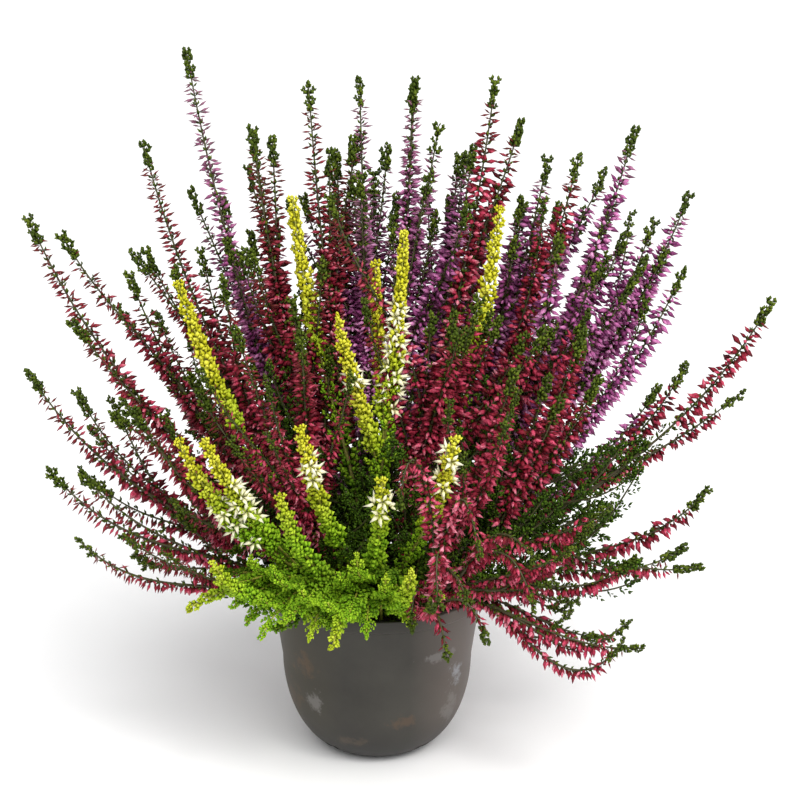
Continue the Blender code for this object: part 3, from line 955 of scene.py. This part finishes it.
def paths_object(name, stems):
    """All stems of one piece as edges that carry each stem's own values."""
    points = []
    edges = []
    values = {}
    ahead = []
    for stem in stems:
        first = len(points)
        count = len(stem.line)
        points.extend(stem.line)
        edges.extend((first + i, first + i + 1) for i in range(count - 1))
        ahead.extend(unit(direction) for direction in np.gradient(stem.line, axis=0))
        carried = {
            "from_tip": stem.length - stem.along + stem.cut,
            "radius": stem.foot + (STEM_END - stem.foot) * (stem.along / stem.length),
            "spike_end": stem.spike_end, "tone": stem.tone, "roll": stem.roll,
            "vigour": stem.vigour, "green": stem.green, "youth": stem.youth,
            "bloom_start": stem.bloom[0] * MM, "bloom_end": stem.bloom[1] * MM,
            "bloom_gaps": stem.bloom[2]}
        for label, value in carried.items():
            values.setdefault(label, []).extend(np.broadcast_to(value, count))
    mesh = bpy.data.meshes.new(name)
    mesh.from_pydata(points, edges, [])
    for label, numbers in values.items():
        layer = mesh.attributes.new(label, "FLOAT", "POINT")
        layer.data.foreach_set("value", np.array(numbers, np.float32))
    layer = mesh.attributes.new("ahead", "FLOAT_VECTOR", "POINT")
    layer.data.foreach_set("vector", np.array(ahead, np.float32).ravel())
    thing = bpy.data.objects.new(name, mesh)
    bpy.context.scene.collection.objects.link(thing)
    return thing


# Habits

def tone_at(tip, rule, draw):
    """The tone of a stem by its tip: crimson is brightest at the front and dull at the far left."""
    middle, to_back, to_right, spread = rule
    across, deep, _ = tip / MM
    tone = middle + to_back * deep + to_right * across + draw.uniform(-spread, spread)
    return min(1.0, max(0.0, tone))


def lowest(tip):
    """How low a side stem may end: the plant's outline rises to the left and to the front."""
    across, deep, _ = tip / MM
    outline = OUTLINE_HEIGHT - OUTLINE_TO_LEFT * across - OUTLINE_TO_FRONT * deep
    return max(LOWEST_TIP, outline * MM)


def beside_line(stem, draw, number):
    """A companion that forks off a stem and ends short of its tip, to one side."""
    fork = draw.uniform(*COMPANION_FORK)
    reach = fork + (1 - fork) * draw.uniform(*COMPANION_REACH[number % len(COMPANION_REACH)])
    ahead = stem.ahead(reach)
    turn = draw.uniform(0, 2 * math.pi)
    level = unit(np.cross(ahead, [0.0, 0.0, 1.0]))
    across = math.cos(turn) * level + math.sin(turn) * np.cross(ahead, level)
    tip = stem.at(reach) + across * draw.uniform(*COMPANION_ASIDE) * MM
    tip[2] = max(tip[2], lowest(tip))
    return side_line(stem, fork, tip, ahead + COMPANION_TURN * across)


class Heather:
    """One colour of heather: each node's own stem, with the side stems that it carries."""

    def __init__(self, nodes, tone, tip, spike, draw):
        self.tone = tone
        self.tip = tip
        self.spike = spike
        self.draw = draw
        self.groups = {}
        self.forks = []
        for node in nodes:
            stem = self.dressed(middle_line(node), MAIN_FOOT, SPIKE_SHARE)
            self.groups[node] = [stem]
            self.forks.extend((node, share, stem.at(share), stem.ahead(share)) for share in FORKS)

    def dressed(self, line, foot, share, vigour=1.0):
        tone = tone_at(line[-1], self.tone, self.draw)
        roll = self.draw.uniform(0, math.pi)
        spike = min(self.spike, longest_spike(line[-1]))
        if self.spike > LIME_SPIKE and line[-1][1] < NEAR_TIP:
            vigour *= NEAR_VIGOUR
        return Stem(line, self.tip, spike, tone, foot, roll, vigour, share)

    def fork_for(self, tip, reach):
        """The stem, and the place on it, from which a side stem most easily reaches a tip."""
        out = tip - np.array([place for _, _, place, _ in self.forks])
        length = np.linalg.norm(out, axis=1)
        ahead = np.array([direction for _, _, _, direction in self.forks])
        turn = 1 - (out * ahead).sum(axis=1) / length
        cost = abs(length - reach) + FORK_TURN_COST * turn
        return self.forks[int(np.argmin(cost))]

    def branch(self, tip, lift, reach=SIDE_REACH, share_of_spike=SIDE_SPIKE_SHARE,
               pull=SIDE_PULL):
        """Adds a side stem that ends at a tip, on the stem that carries it best."""
        node, share, _, _ = self.fork_for(tip, reach)
        return self.carry(node, share, tip, lift, share_of_spike, pull)

    def carry(self, node, share, tip, lift, share_of_spike, pull):
        """Adds a side stem that leaves a node's own stem at a share of its length."""
        end = unit(tip - self.groups[node][0].at(share)) + np.array([0.0, 0.0, lift])
        line = side_line(self.groups[node][0], share, tip, end, pull)
        side = self.dressed(line, SIDE_FOOT, share_of_spike)
        if lift < 0:
            side.cut = HANGING_CUT
            side.spike_end = min(side.spike_end, HANGING_SPIKE)
        self.groups[node].append(side)
        return side

    def add_companions(self):
        """One beside each stem, two beside those that lean left, and none at the very front."""
        for stems in self.groups.values():
            across, deep, _ = stems[0].line[-1]
            count = 0 if deep < FRONT_TIP else 2 if across < LEFT_TIP else 1
            for number in range(count):
                line = beside_line(stems[0], self.draw, number)
                vigour = self.draw.uniform(*COMPANION_VIGOUR)
                stems.append(self.dressed(line, SIDE_FOOT, SIDE_SPIKE_SHARE, vigour))


def dome_tips(count, rise, reach, front_reach, draw):
    """Tips spread evenly round the dome, and held further in at the front."""
    tips = []
    for number in range(count):
        height = rise[0] + (rise[1] - rise[0]) * (number + 0.5) / count
        level = math.sqrt(1 - height**2)
        turn = number * GOLDEN_ANGLE
        aim = np.array([level * math.cos(turn), level * math.sin(turn), height])
        depth = draw.uniform(*(front_reach if aim[1] < FRONT_SECTOR else reach))
        tips.append(DOME_CENTRE + DOME_SIZE * aim * depth)
    return tips


def longest_spike(tip):
    """Stems at the front right, and those that lean out to the right, are bare further in."""
    across, deep, high = tip / MM
    low, top = FRONT_RIGHT_HIGH
    if across > FRONT_RIGHT_ACROSS and deep < FRONT_RIGHT_DEEP and low < high < top:
        return FRONT_SPIKE
    if across > FAR_RIGHT_ACROSS and high < FAR_RIGHT_HIGH:
        return SHORT_SPIKE
    return HEATHER_SPIKE


def within(tip, low, high):
    return bool(np.all(tip > low) and np.all(tip < high))


def kept_clear(tip):
    """The low inner right, where only leaves grow, and the place before the flowering lime stem."""
    return within(tip, SHADY_LOW, SHADY_HIGH) or within(tip, CLEAR_LOW, CLEAR_HIGH)


def low_in_front(tip):
    """The low front, which the named stems, the lime heather and the mat fill."""
    _, deep, high = (tip - DOME_CENTRE) / DOME_SIZE
    return deep < LOW_FRONT_SECTOR and high < FRONT_RISE


def magenta_grows(tip, draw):
    """Magenta stands behind, and comes forward at the right and at the top."""
    across, deep, high = tip / MM
    place = deep + MAGENTA_TO_RIGHT * across + MAGENTA_UPWARDS * (high - MAGENTA_HEIGHT)
    return place + draw.uniform(-MAGENTA_EDGE, MAGENTA_EDGE) > MAGENTA_FROM


def nodes_named(start):
    return sorted(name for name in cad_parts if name.startswith(start))


def grow(groups, tree, slot):
    """One piece for each node: its own stem and the side stems on it."""
    for number, (node, stems) in enumerate(groups.items()):
        piece = paths_object(node.replace("_stem", "_heather"), stems)
        keep_result(piece, tree, {"Seed": SEED + 100 * number})
        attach(piece, BODY)
        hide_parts(node)


def make_twigs(carriers, organs, shapes, looks, draw):
    """Short leafy twigs without flowers that fill the plant from inside."""
    stems = []
    tips = dome_tips(TWIG_COUNT, TWIG_RISE, TWIG_REACH, TWIG_REACH, draw)
    for _ in range(SHADY_TWIGS):
        mix = np.array([draw.random() for _ in range(3)])
        tips.append(SHADY_LOW + (SHADY_HIGH - SHADY_LOW) * mix)
    for number, tip in enumerate(tips):
        heather = carriers[number % len(carriers)]
        tip[2] = max(tip[2], LOWEST_TWIG)
        node, share, place, _ = heather.fork_for(tip, TWIG_LENGTH)
        end = unit(tip - place) + np.array([0.0, 0.0, TWIG_LIFT])
        line = side_line(heather.groups[node][0], share, tip, end)
        stems.append(Stem(line, 0.0, 0.0, TWIG_TONE, SIDE_FOOT, draw.uniform(0, math.pi)))
    leaf = looks["inner_leaf"]
    layers = [
        Layer(shapes["lobe"], leaf, spacing=2.6 * MM, zone_start=0.0, zone_end=10 * MM,
              splay=math.radians(40), size_at_tip=0.8, size_at_foot=1.2),
        Layer(shapes["twig_shoot"], leaf, spacing=5.6 * MM, zone_start=7 * MM, zone_end=75 * MM,
              splay=math.radians(55), size_at_tip=0.8, size_at_foot=1.3, turn_spread=0.9,
              size_spread=0.25, missing=0.08)]
    tree = stem_tree("twig_growth", organs, layers, looks["bark"])
    piece = paths_object("leafy_twigs", stems)
    keep_result(piece, tree, {"Seed": SEED})
    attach(piece, BODY)


def frond_line(start, tip, out, lift):
    """A frond's line: it rises beside the rim and bends out to its tip."""
    up = np.array([0.0, 0.0, 1.0])
    reach = np.linalg.norm(tip - start)
    first = start + (FROND_RISE * up + FROND_LEAN * out) * reach
    last = tip - unit(out + lift * up) * SIDE_PULL * reach
    return resampled(bezier(start, first, last, tip, FROND_POINTS), FROND_STEP)


def mat_stems(draw):
    """Lime fronds that rise beside the rim at the front left and arch out over it."""
    places = [(np.array(tip) * MM, lift, draw.uniform(*FROND_DEPTH)) for tip, lift in FROND_TIPS]
    for _ in range(MAT_COUNT):
        turn = math.radians(draw.uniform(*MAT_TURNS))
        reach = draw.uniform(*MAT_REACH) * MM
        high = draw.uniform(*MAT_HEIGHT) * MM
        tip = np.array([reach * math.cos(turn), reach * math.sin(turn), high])
        places.append((tip, draw.uniform(*MAT_LIFT), draw.uniform(*MAT_DEPTH)))
    stems = []
    for tip, lift, depth in places:
        out = unit(np.array([tip[0], tip[1], 0.0]))
        start = out * draw.uniform(*MAT_INSIDE) * MM + np.array([0.0, 0.0, MAT_START])
        stem = Stem(frond_line(start, tip, out, lift), LIME_TIP, MAT_SPIKE, depth, SIDE_FOOT,
                    FLAT_ROLL)
        stem.green = MAT_GREEN + MAT_GREENER * depth
        stems.append(stem)
    return stems


def make_mat(organs, shapes, looks, draw):
    """The mat of lime fronds, flatter and greener than the lime stems behind it."""
    lobe = shapes["lime_lobe"]
    lime = looks["lime_leaf"]
    layers = [
        Layer(lobe, lime, spacing=2.8 * MM, zone_start=0.0, zone_end=9 * MM,
              splay=math.radians(33), size_at_tip=0.6, size_at_foot=0.9, grown=9 * MM,
              turn_spread=0.2),
        Layer(lobe, lime, spacing=4.4 * MM, zone_start=8 * MM, zone_end=40 * MM,
              splay=math.radians(38), size_at_tip=0.7, size_at_foot=0.9, grown=30 * MM,
              turn_spread=0.8),
        Layer(shapes["lime_shoot"], lime, spacing=3.3 * MM, crosswise=0.0, zone_start=5 * MM,
              zone_end=62 * MM, splay=math.radians(54), size_at_tip=0.5, size_at_foot=1.2,
              grown=36 * MM, turn_spread=0.2, size_spread=0.1, missing=0.02)]
    tree = stem_tree("mat_growth", organs, layers, looks["lime_bark"])
    piece = paths_object("lime_mat", mat_stems(draw))
    keep_result(piece, tree, {"Seed": SEED})
    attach(piece, BODY)


# Pot and soil

def arc(centre, radius, start, end, steps):
    """Points of an arc in the plane of radius and height, by angle in degrees."""
    angles = [math.radians(start + (end - start) * i / steps) for i in range(steps + 1)]
    return [(centre[0] + radius * math.cos(a), centre[1] + radius * math.sin(a)) for a in angles]


def bowl(inset):
    """The pot's wall from its shoulder down to its flat foot, moved in by the inset."""
    width = SHOULDER_RADIUS - FOOT_RADIUS
    points = []
    for step in range(FOOT_STEPS + 1):
        angle = math.pi / 2 * step / FOOT_STEPS
        radius = FOOT_RADIUS - inset + width * math.cos(angle)
        points.append((radius, SHOULDER_HEIGHT - (SHOULDER_HEIGHT - inset) * math.sin(angle)))
    return points


def upper_wall(top, lip_radius, low, high, inset):
    """The straight upper wall between two heights."""
    points = []
    for step in range(WALL_STEPS + 1):
        height = low + (high - low) * step / WALL_STEPS
        share = (height - SHOULDER_HEIGHT) / (top - SHOULDER_HEIGHT)
        radius = SHOULDER_RADIUS + (lip_radius - LIP_STEP - SHOULDER_RADIUS) * share - inset
        points.append((radius, height))
    return points


def turned(profile, sides):
    """A bmesh turned from a profile of radius and height."""
    work = bmesh.new()
    verts = [work.verts.new((radius, 0.0, height)) for radius, height in profile]
    edges = [work.edges.new(pair) for pair in zip(verts, verts[1:])]
    bmesh.ops.spin(work, geom=verts + edges, cent=(0, 0, 0), axis=(0, 0, 1), angle=2 * math.pi,
                   steps=sides)
    bmesh.ops.remove_doubles(work, verts=work.verts, dist=MERGE_DISTANCE)
    bmesh.ops.recalc_face_normals(work, faces=work.faces)
    return work


def object_from(name, work):
    mesh = bpy.data.meshes.new(name)
    work.to_mesh(mesh)
    work.free()
    thing = bpy.data.objects.new(name, mesh)
    bpy.context.scene.collection.objects.link(thing)
    return thing


def make_pot(material):
    _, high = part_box("pot")
    top = high.z
    lip_radius = high.x
    lip_foot = top - LIP_DEPTH
    inner = [(0.0, POT_WALL)] + list(reversed(bowl(POT_WALL)))
    inner += upper_wall(top, lip_radius, SHOULDER_HEIGHT, top - POT_EDGE, POT_WALL)[1:]
    lip = arc((inner[-1][0] + POT_EDGE, top - POT_EDGE), POT_EDGE, 180, 90, 4)[1:]
    lip += arc((lip_radius - POT_EDGE, top - POT_EDGE), POT_EDGE, 90, 0, 5)
    lip += arc((lip_radius - POT_EDGE, lip_foot + POT_EDGE), POT_EDGE, 0, -90, 5)
    outer = list(reversed(upper_wall(top, lip_radius, SHOULDER_HEIGHT, lip_foot - LIP_STEP, 0.0)))
    profile = inner + lip + outer + bowl(0.0)[1:] + [(0.0, 0.0)]
    pot = object_from("pot_shell", turned(profile, POT_SIDES))
    cutter = object_from("drain_cutter", drain_notches())
    boolean = pot.modifiers.new("Drains", "BOOLEAN")
    boolean.operation = "DIFFERENCE"
    boolean.object = cutter
    graph = bpy.context.evaluated_depsgraph_get()
    mesh = bpy.data.meshes.new_from_object(pot.evaluated_get(graph))
    pot.modifiers.clear()
    pot.data = mesh
    bpy.data.objects.remove(cutter)
    for vertex in mesh.vertices:
        x, y, z = vertex.co
        turn = math.atan2(y, x)
        reach = math.hypot(x, y)
        if reach < FOOT_RADIUS or z < MM:
            continue
        dent = math.sin(2 * turn + DENT_START) * z / top
        dent += DENT_SHARE * noise.noise(Vector((x, y, z)) * DENT_SCALE)
        vertex.co.x -= x / reach * POT_WOBBLE * (0.5 + 0.5 * dent)
        vertex.co.y -= y / reach * POT_WOBBLE * (0.5 + 0.5 * dent)
    mesh.materials.clear()
    mesh.materials.append(material)
    mesh.shade_smooth()
    mesh.set_sharp_from_angle(angle=SHARP_ANGLE)
    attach(pot, BODY)
    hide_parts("pot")


def drain_notches():
    work = bmesh.new()
    for number in range(DRAIN_COUNT):
        angle = 2 * math.pi * (number + 0.5) / DRAIN_COUNT
        made = bmesh.ops.create_cube(work, size=1.0)["verts"]
        bmesh.ops.scale(work, vec=(DRAIN_CUT, DRAIN_WIDTH, DRAIN_HEIGHT), verts=made)
        bmesh.ops.translate(work, vec=(DRAIN_RADIUS, 0, DRAIN_HEIGHT), verts=made)
        bmesh.ops.rotate(work, matrix=Matrix.Rotation(angle, 3, "Z"), verts=made)
    return work


def make_soil(material):
    """Crumbly potting mix, closed all round, that fills the pot."""
    low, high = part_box("soil")
    pot_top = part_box("pot")[1]
    inset = POT_WALL + SOIL_GAP
    wall = upper_wall(pot_top.z, pot_top.x, SHOULDER_HEIGHT, high.z - SOIL_EDGE, inset)
    edge = wall[-1][0]
    level = high.z - SOIL_SINK
    surface = [(edge * (1 - ring / SOIL_RINGS), level) for ring in range(1, SOIL_RINGS)]
    surface.append((0.0, level))
    profile = [(0.0, low.z)] + list(reversed(bowl(inset)))[1:] + wall[1:] + surface
    soil = object_from("potting_mix", turned(profile, SOIL_SIDES))
    for vertex in soil.data.vertices:
        if vertex.co.z > high.z - CRUMBS_FROM:
            rough = noise.fractal(vertex.co * CRUMB_SCALE, 1.0, 2.0, CRUMB_OCTAVES)
            vertex.co.z += CRUMB_HEIGHT * rough
    soil.data.materials.append(material)
    soil.data.shade_smooth()
    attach(soil, BODY)
    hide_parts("soil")


# Floor, light and camera

def make_floor():
    work = bmesh.new()
    bmesh.ops.create_circle(work, cap_ends=True, segments=FLOOR_SIDES, radius=FLOOR_RADIUS)
    floor = object_from("floor", work)
    floor.data.materials.append(floor_material())


def make_world():
    world = bpy.data.worlds.new("studio")
    world.use_nodes = True
    background = world.node_tree.nodes["Background"]
    background.inputs["Color"].default_value = (1.0, 1.0, 1.0, 1.0)
    background.inputs["Strength"].default_value = WORLD_LIGHT
    bpy.context.scene.world = world
    bpy.context.scene.view_settings.view_transform = "Standard"


def make_key_lamp():
    data = bpy.data.lights.new("key", "AREA")
    data.shape = "DISK"
    data.size = KEY_SIZE
    data.energy = KEY_POWER
    data.color = KEY_COLOUR
    lamp = bpy.data.objects.new("key", data)
    lamp.location = KEY_PLACE
    aim = Vector(KEY_TARGET) - Vector(KEY_PLACE)
    lamp.rotation_euler = aim.to_track_quat("-Z", "Y").to_euler()
    bpy.context.scene.collection.objects.link(lamp)


def make_sky_panel():
    data = bpy.data.lights.new("sky_panel", "SUN")
    data.energy = SKY_POWER
    data.angle = SKY_SPREAD
    lamp = bpy.data.objects.new("sky_panel", data)
    lamp.rotation_euler = SKY_TURN
    bpy.context.scene.collection.objects.link(lamp)


def make_camera():
    data = bpy.data.cameras.new("camera")
    data.sensor_width = SENSOR_WIDTH
    data.lens = LENS
    camera = bpy.data.objects.new("camera", data)
    camera.location = CAMERA_PLACE
    camera.rotation_euler = (math.pi / 2 - CAMERA_PITCH, 0.0, 0.0)
    bpy.context.scene.collection.objects.link(camera)
    bpy.context.scene.camera = camera


# What each kind of heather grows, and the plant put together

def heather_layers(shapes, buds, leaf):
    """Crimson and magenta heather: a spike of buds, a leafy tip, side tufts and a leafy foot."""
    leaflet = shapes["leaflet"]
    return [
        Layer(shapes["bud"], buds, spacing=2.35 * MM, per_ring=5, zone_start=0.8 * HEATHER_TIP,
              zone_end="spike_end", splay=math.radians(72), splay_spread=0.5, droop=0.3,
              arching_droop=1.1, turn_spread=0.6, size_at_tip=0.8, size_at_foot=1.13,
              grown="youth", slim_at_tip=0.5, size_spread=0.22, missing=0.06,
              young_missing=0.3, arching_missing=0.5),
        Layer(leaflet, leaf, spacing=2.6 * MM, zone_start=0.0, zone_end=HEATHER_TIP,
              splay=math.radians(30), size_at_tip=0.9, size_at_foot=1.1, grown=HEATHER_TIP),
        Layer(leaflet, leaf, spacing=4.5 * MM, zone_start=HEATHER_TIP, zone_end="spike_end",
              splay=math.radians(50), size_at_tip=1.0, size_at_foot=1.3, turn_spread=1.5),
        Layer(shapes["lobe"], leaf, spacing=2.9 * MM, zone_start=0.5 * MM,
              zone_end=HEATHER_TIP + 2 * MM, splay=math.radians(42), size_at_tip=1.05,
              size_at_foot=1.1, size_spread=0.2, turn_spread=0.3, grown=HEATHER_TIP,
              missing=0.06),
        Layer(shapes["tuft"], leaf, spacing=9 * MM, zone_start=HEATHER_TIP, zone_end="spike_end",
              splay=math.radians(52), size_at_tip=0.6, size_at_foot=0.9, missing=0.78,
              turn_spread=1.5),
        Layer(shapes["shoot"], leaf, spacing=8.0 * MM, zone_start="spike_end", zone_end=1.0,
              splay=math.radians(48), size_at_tip=0.9, size_at_foot=1.1, turn_spread=0.8,
              size_spread=0.25, missing=0.12)]


def lime_layers(shapes, looks):
    """Lime heather: a scaly yellow spike, cream stars and a feathery green foot."""
    lobe = shapes["lime_lobe"]
    lime = looks["lime_leaf"]
    return [
        Layer(lobe, lime, spacing=3.1 * MM, zone_start=2.5 * MM, zone_end="spike_end",
              splay=math.radians(44), size_at_tip=0.8, size_at_foot=1.5, grown=72 * MM,
              turn_spread=0.15, size_spread=0.12),
        Layer(lobe, lime, spacing=3.3 * MM, zone_start=8 * MM, zone_end="spike_end",
              splay=math.radians(50), size_at_tip=0.7, size_at_foot=1.3, grown=66 * MM,
              turn_spread=0.9, size_spread=0.2, missing=0.3),
        Layer(lobe, lime, spacing=2.0 * MM, zone_start=0.0, zone_end=4 * MM,
              splay=math.radians(18), size_at_tip=0.6, size_at_foot=0.8),
        Layer(shapes["star"], looks["cream_petal"], spacing=4.2 * MM, per_ring=2,
              zone_start="bloom_start", zone_end="bloom_end", splay=math.radians(66),
              splay_spread=0.2, size_at_tip=0.95, size_at_foot=1.2, size_spread=0.12,
              turn_spread=0.5, missing="bloom_gaps"),
        Layer(shapes["lime_shoot"], lime, spacing=3.4 * MM, zone_start=48 * MM, zone_end=0.3,
              splay=math.radians(50), size_at_tip=0.5, size_at_foot=1.4, grown=0.16,
              turn_spread=0.5, size_spread=0.25, missing=0.08)]


def make_looks():
    """The materials of the plants, by name."""
    made = [
        bark_material("bark", (0.025, 0.017, 0.008), (0.075, 0.050, 0.022), (0.06, 0.06, 0.018)),
        leaf_material("heather_leaf", (0.010, 0.020, 0.001), (0.050, 0.080, 0.005),
                      (0.16, 0.21, 0.014), (0.032, 0.031, 0.005)),
        # Buds' colours: base, pale point (partly a painted highlight), and young.
        bud_material("crimson_buds", CRIMSON_STOPS, (0.06, 0.030, 0.007), (0.90, 0.52, 0.56),
                     (0.13, 0.028, 0.022)),
        bud_material("magenta_buds", MAGENTA_STOPS, (0.07, 0.042, 0.018), (0.84, 0.62, 0.75),
                     (0.23, 0.12, 0.145)),
        lime_material("lime_leaf"),
        petal_material("cream_petal"),
        bark_material("lime_bark", (0.10, 0.09, 0.02), (0.22, 0.20, 0.05), (0.36, 0.36, 0.04)),
        leaf_material("inner_leaf", (0.008, 0.018, 0.001), (0.035, 0.078, 0.003),
                      (0.11, 0.20, 0.009), (0.020, 0.040, 0.003))]
    return {material.name: material for material in made}


def make_organs():
    """The small shapes that the stems carry, by name."""
    shoots = [
        make_shoot("lobe", 3.6 * MM, pairs=2, leaf=3.0 * MM, width=2.5 * MM, splay=36),
        make_shoot("tuft", 4.4 * MM, pairs=2, leaf=3.0 * MM, width=2.0 * MM, splay=42),
        make_shoot("shoot", 9.5 * MM, pairs=3, leaf=3.8 * MM, width=1.8 * MM, splay=45),
        make_shoot("twig_shoot", 8.0 * MM, pairs=3, leaf=3.8 * MM, width=1.8 * MM, splay=48),
        make_shoot("lime_lobe", 4.2 * MM, pairs=2, leaf=3.4 * MM, width=2.8 * MM, splay=33),
        make_shoot("lime_shoot", 7.4 * MM, pairs=3, leaf=3.4 * MM, width=2.6 * MM, splay=33)]
    made = [
        make_bud(length=6.1 * MM, width=2.05 * MM),
        make_leaf("leaflet", length=3.2 * MM, width=1.8 * MM),
        make_star(length=5.8 * MM, width=2.5 * MM)]
    return {organ.name: organ for organ in made + shoots}


def add_crimson_sides(crimson):
    for node in nodes_named("crimson_drooping"):
        drooping = crimson.groups[node][0]
        drooping.cut = HANGING_CUT
        drooping.spike_end = HANGING_SPIKE
    for place in CRIMSON_SIDE_TIPS:
        crimson.branch(np.array(place) * MM, SIDE_LIFT)
    for place in CRIMSON_HANGING_TIPS:
        crimson.branch(np.array(place) * MM, HANGING_LIFT, HANGING_REACH, HANGING_SPIKE_SHARE,
                       HANGING_PULL)
    for share, place, lift in SAGGING_SIDES:
        crimson.carry(SAGGING_NODE, share, np.array(place) * MM, lift, HANGING_SPIKE_SHARE,
                      HANGING_PULL)


def add_magenta_sides(magenta):
    for place in MAGENTA_SIDE_TIPS:
        magenta.branch(np.array(place) * MM, SIDE_LIFT)


def add_lime_sides(lime):
    for place in LIME_SIDE_TIPS:
        side = lime.branch(np.array(place) * MM, SIDE_LIFT)
        side.bloom = SIDE_BLOOMS.get(place, NO_BLOOM)
    for node, bloom in NODE_BLOOMS.items():
        lime.groups[node][0].bloom = bloom


def add_fillers(crimson, magenta, draw):
    """Side stems that fill the dome, except where the photograph shows leaves or lime heather."""
    for tip in dome_tips(FILLER_COUNT, FILLER_RISE, FILLER_REACH, FRONT_REACH, draw):
        heather = magenta if magenta_grows(tip, draw) else crimson
        tip[2] = max(tip[2], lowest(tip))
        if not (kept_clear(tip) or low_in_front(tip)):
            heather.branch(tip, FILLER_LIFT)


def main():
    draw = random.Random(SEED)
    make_camera()
    make_world()
    make_key_lamp()
    make_sky_panel()
    make_floor()
    make_pot(pot_material())
    make_soil(soil_material())
    looks = make_looks()
    shapes = make_organs()

    crimson_nodes = nodes_named("crimson_stem") + nodes_named("crimson_drooping")
    lime_nodes = nodes_named("lime_stem") + nodes_named("lime_frond")
    crimson = Heather(crimson_nodes, CRIMSON_TONE, HEATHER_TIP, HEATHER_SPIKE, draw)
    magenta = Heather(nodes_named("magenta_stem"), MAGENTA_TONE, HEATHER_TIP, HEATHER_SPIKE, draw)
    lime = Heather(lime_nodes, LIME_TONE, LIME_TIP, LIME_SPIKE, draw)
    add_crimson_sides(crimson)
    add_magenta_sides(magenta)
    add_lime_sides(lime)
    add_fillers(crimson, magenta, draw)
    crimson.add_companions()
    magenta.add_companions()

    organs = organs_group()
    for heather, colour in ((crimson, "crimson"), (magenta, "magenta")):
        layers = heather_layers(shapes, looks[colour + "_buds"], looks["heather_leaf"])
        tree = stem_tree(colour + "_growth", organs, layers, looks["bark"])
        grow(heather.groups, tree, colour + "_heather")
    lime_tree = stem_tree("lime_growth", organs, lime_layers(shapes, looks), looks["lime_bark"])
    grow(lime.groups, lime_tree, "lime_heather")
    make_twigs([crimson, magenta], organs, shapes, looks, draw)
    make_mat(organs, shapes, looks, draw)


main()
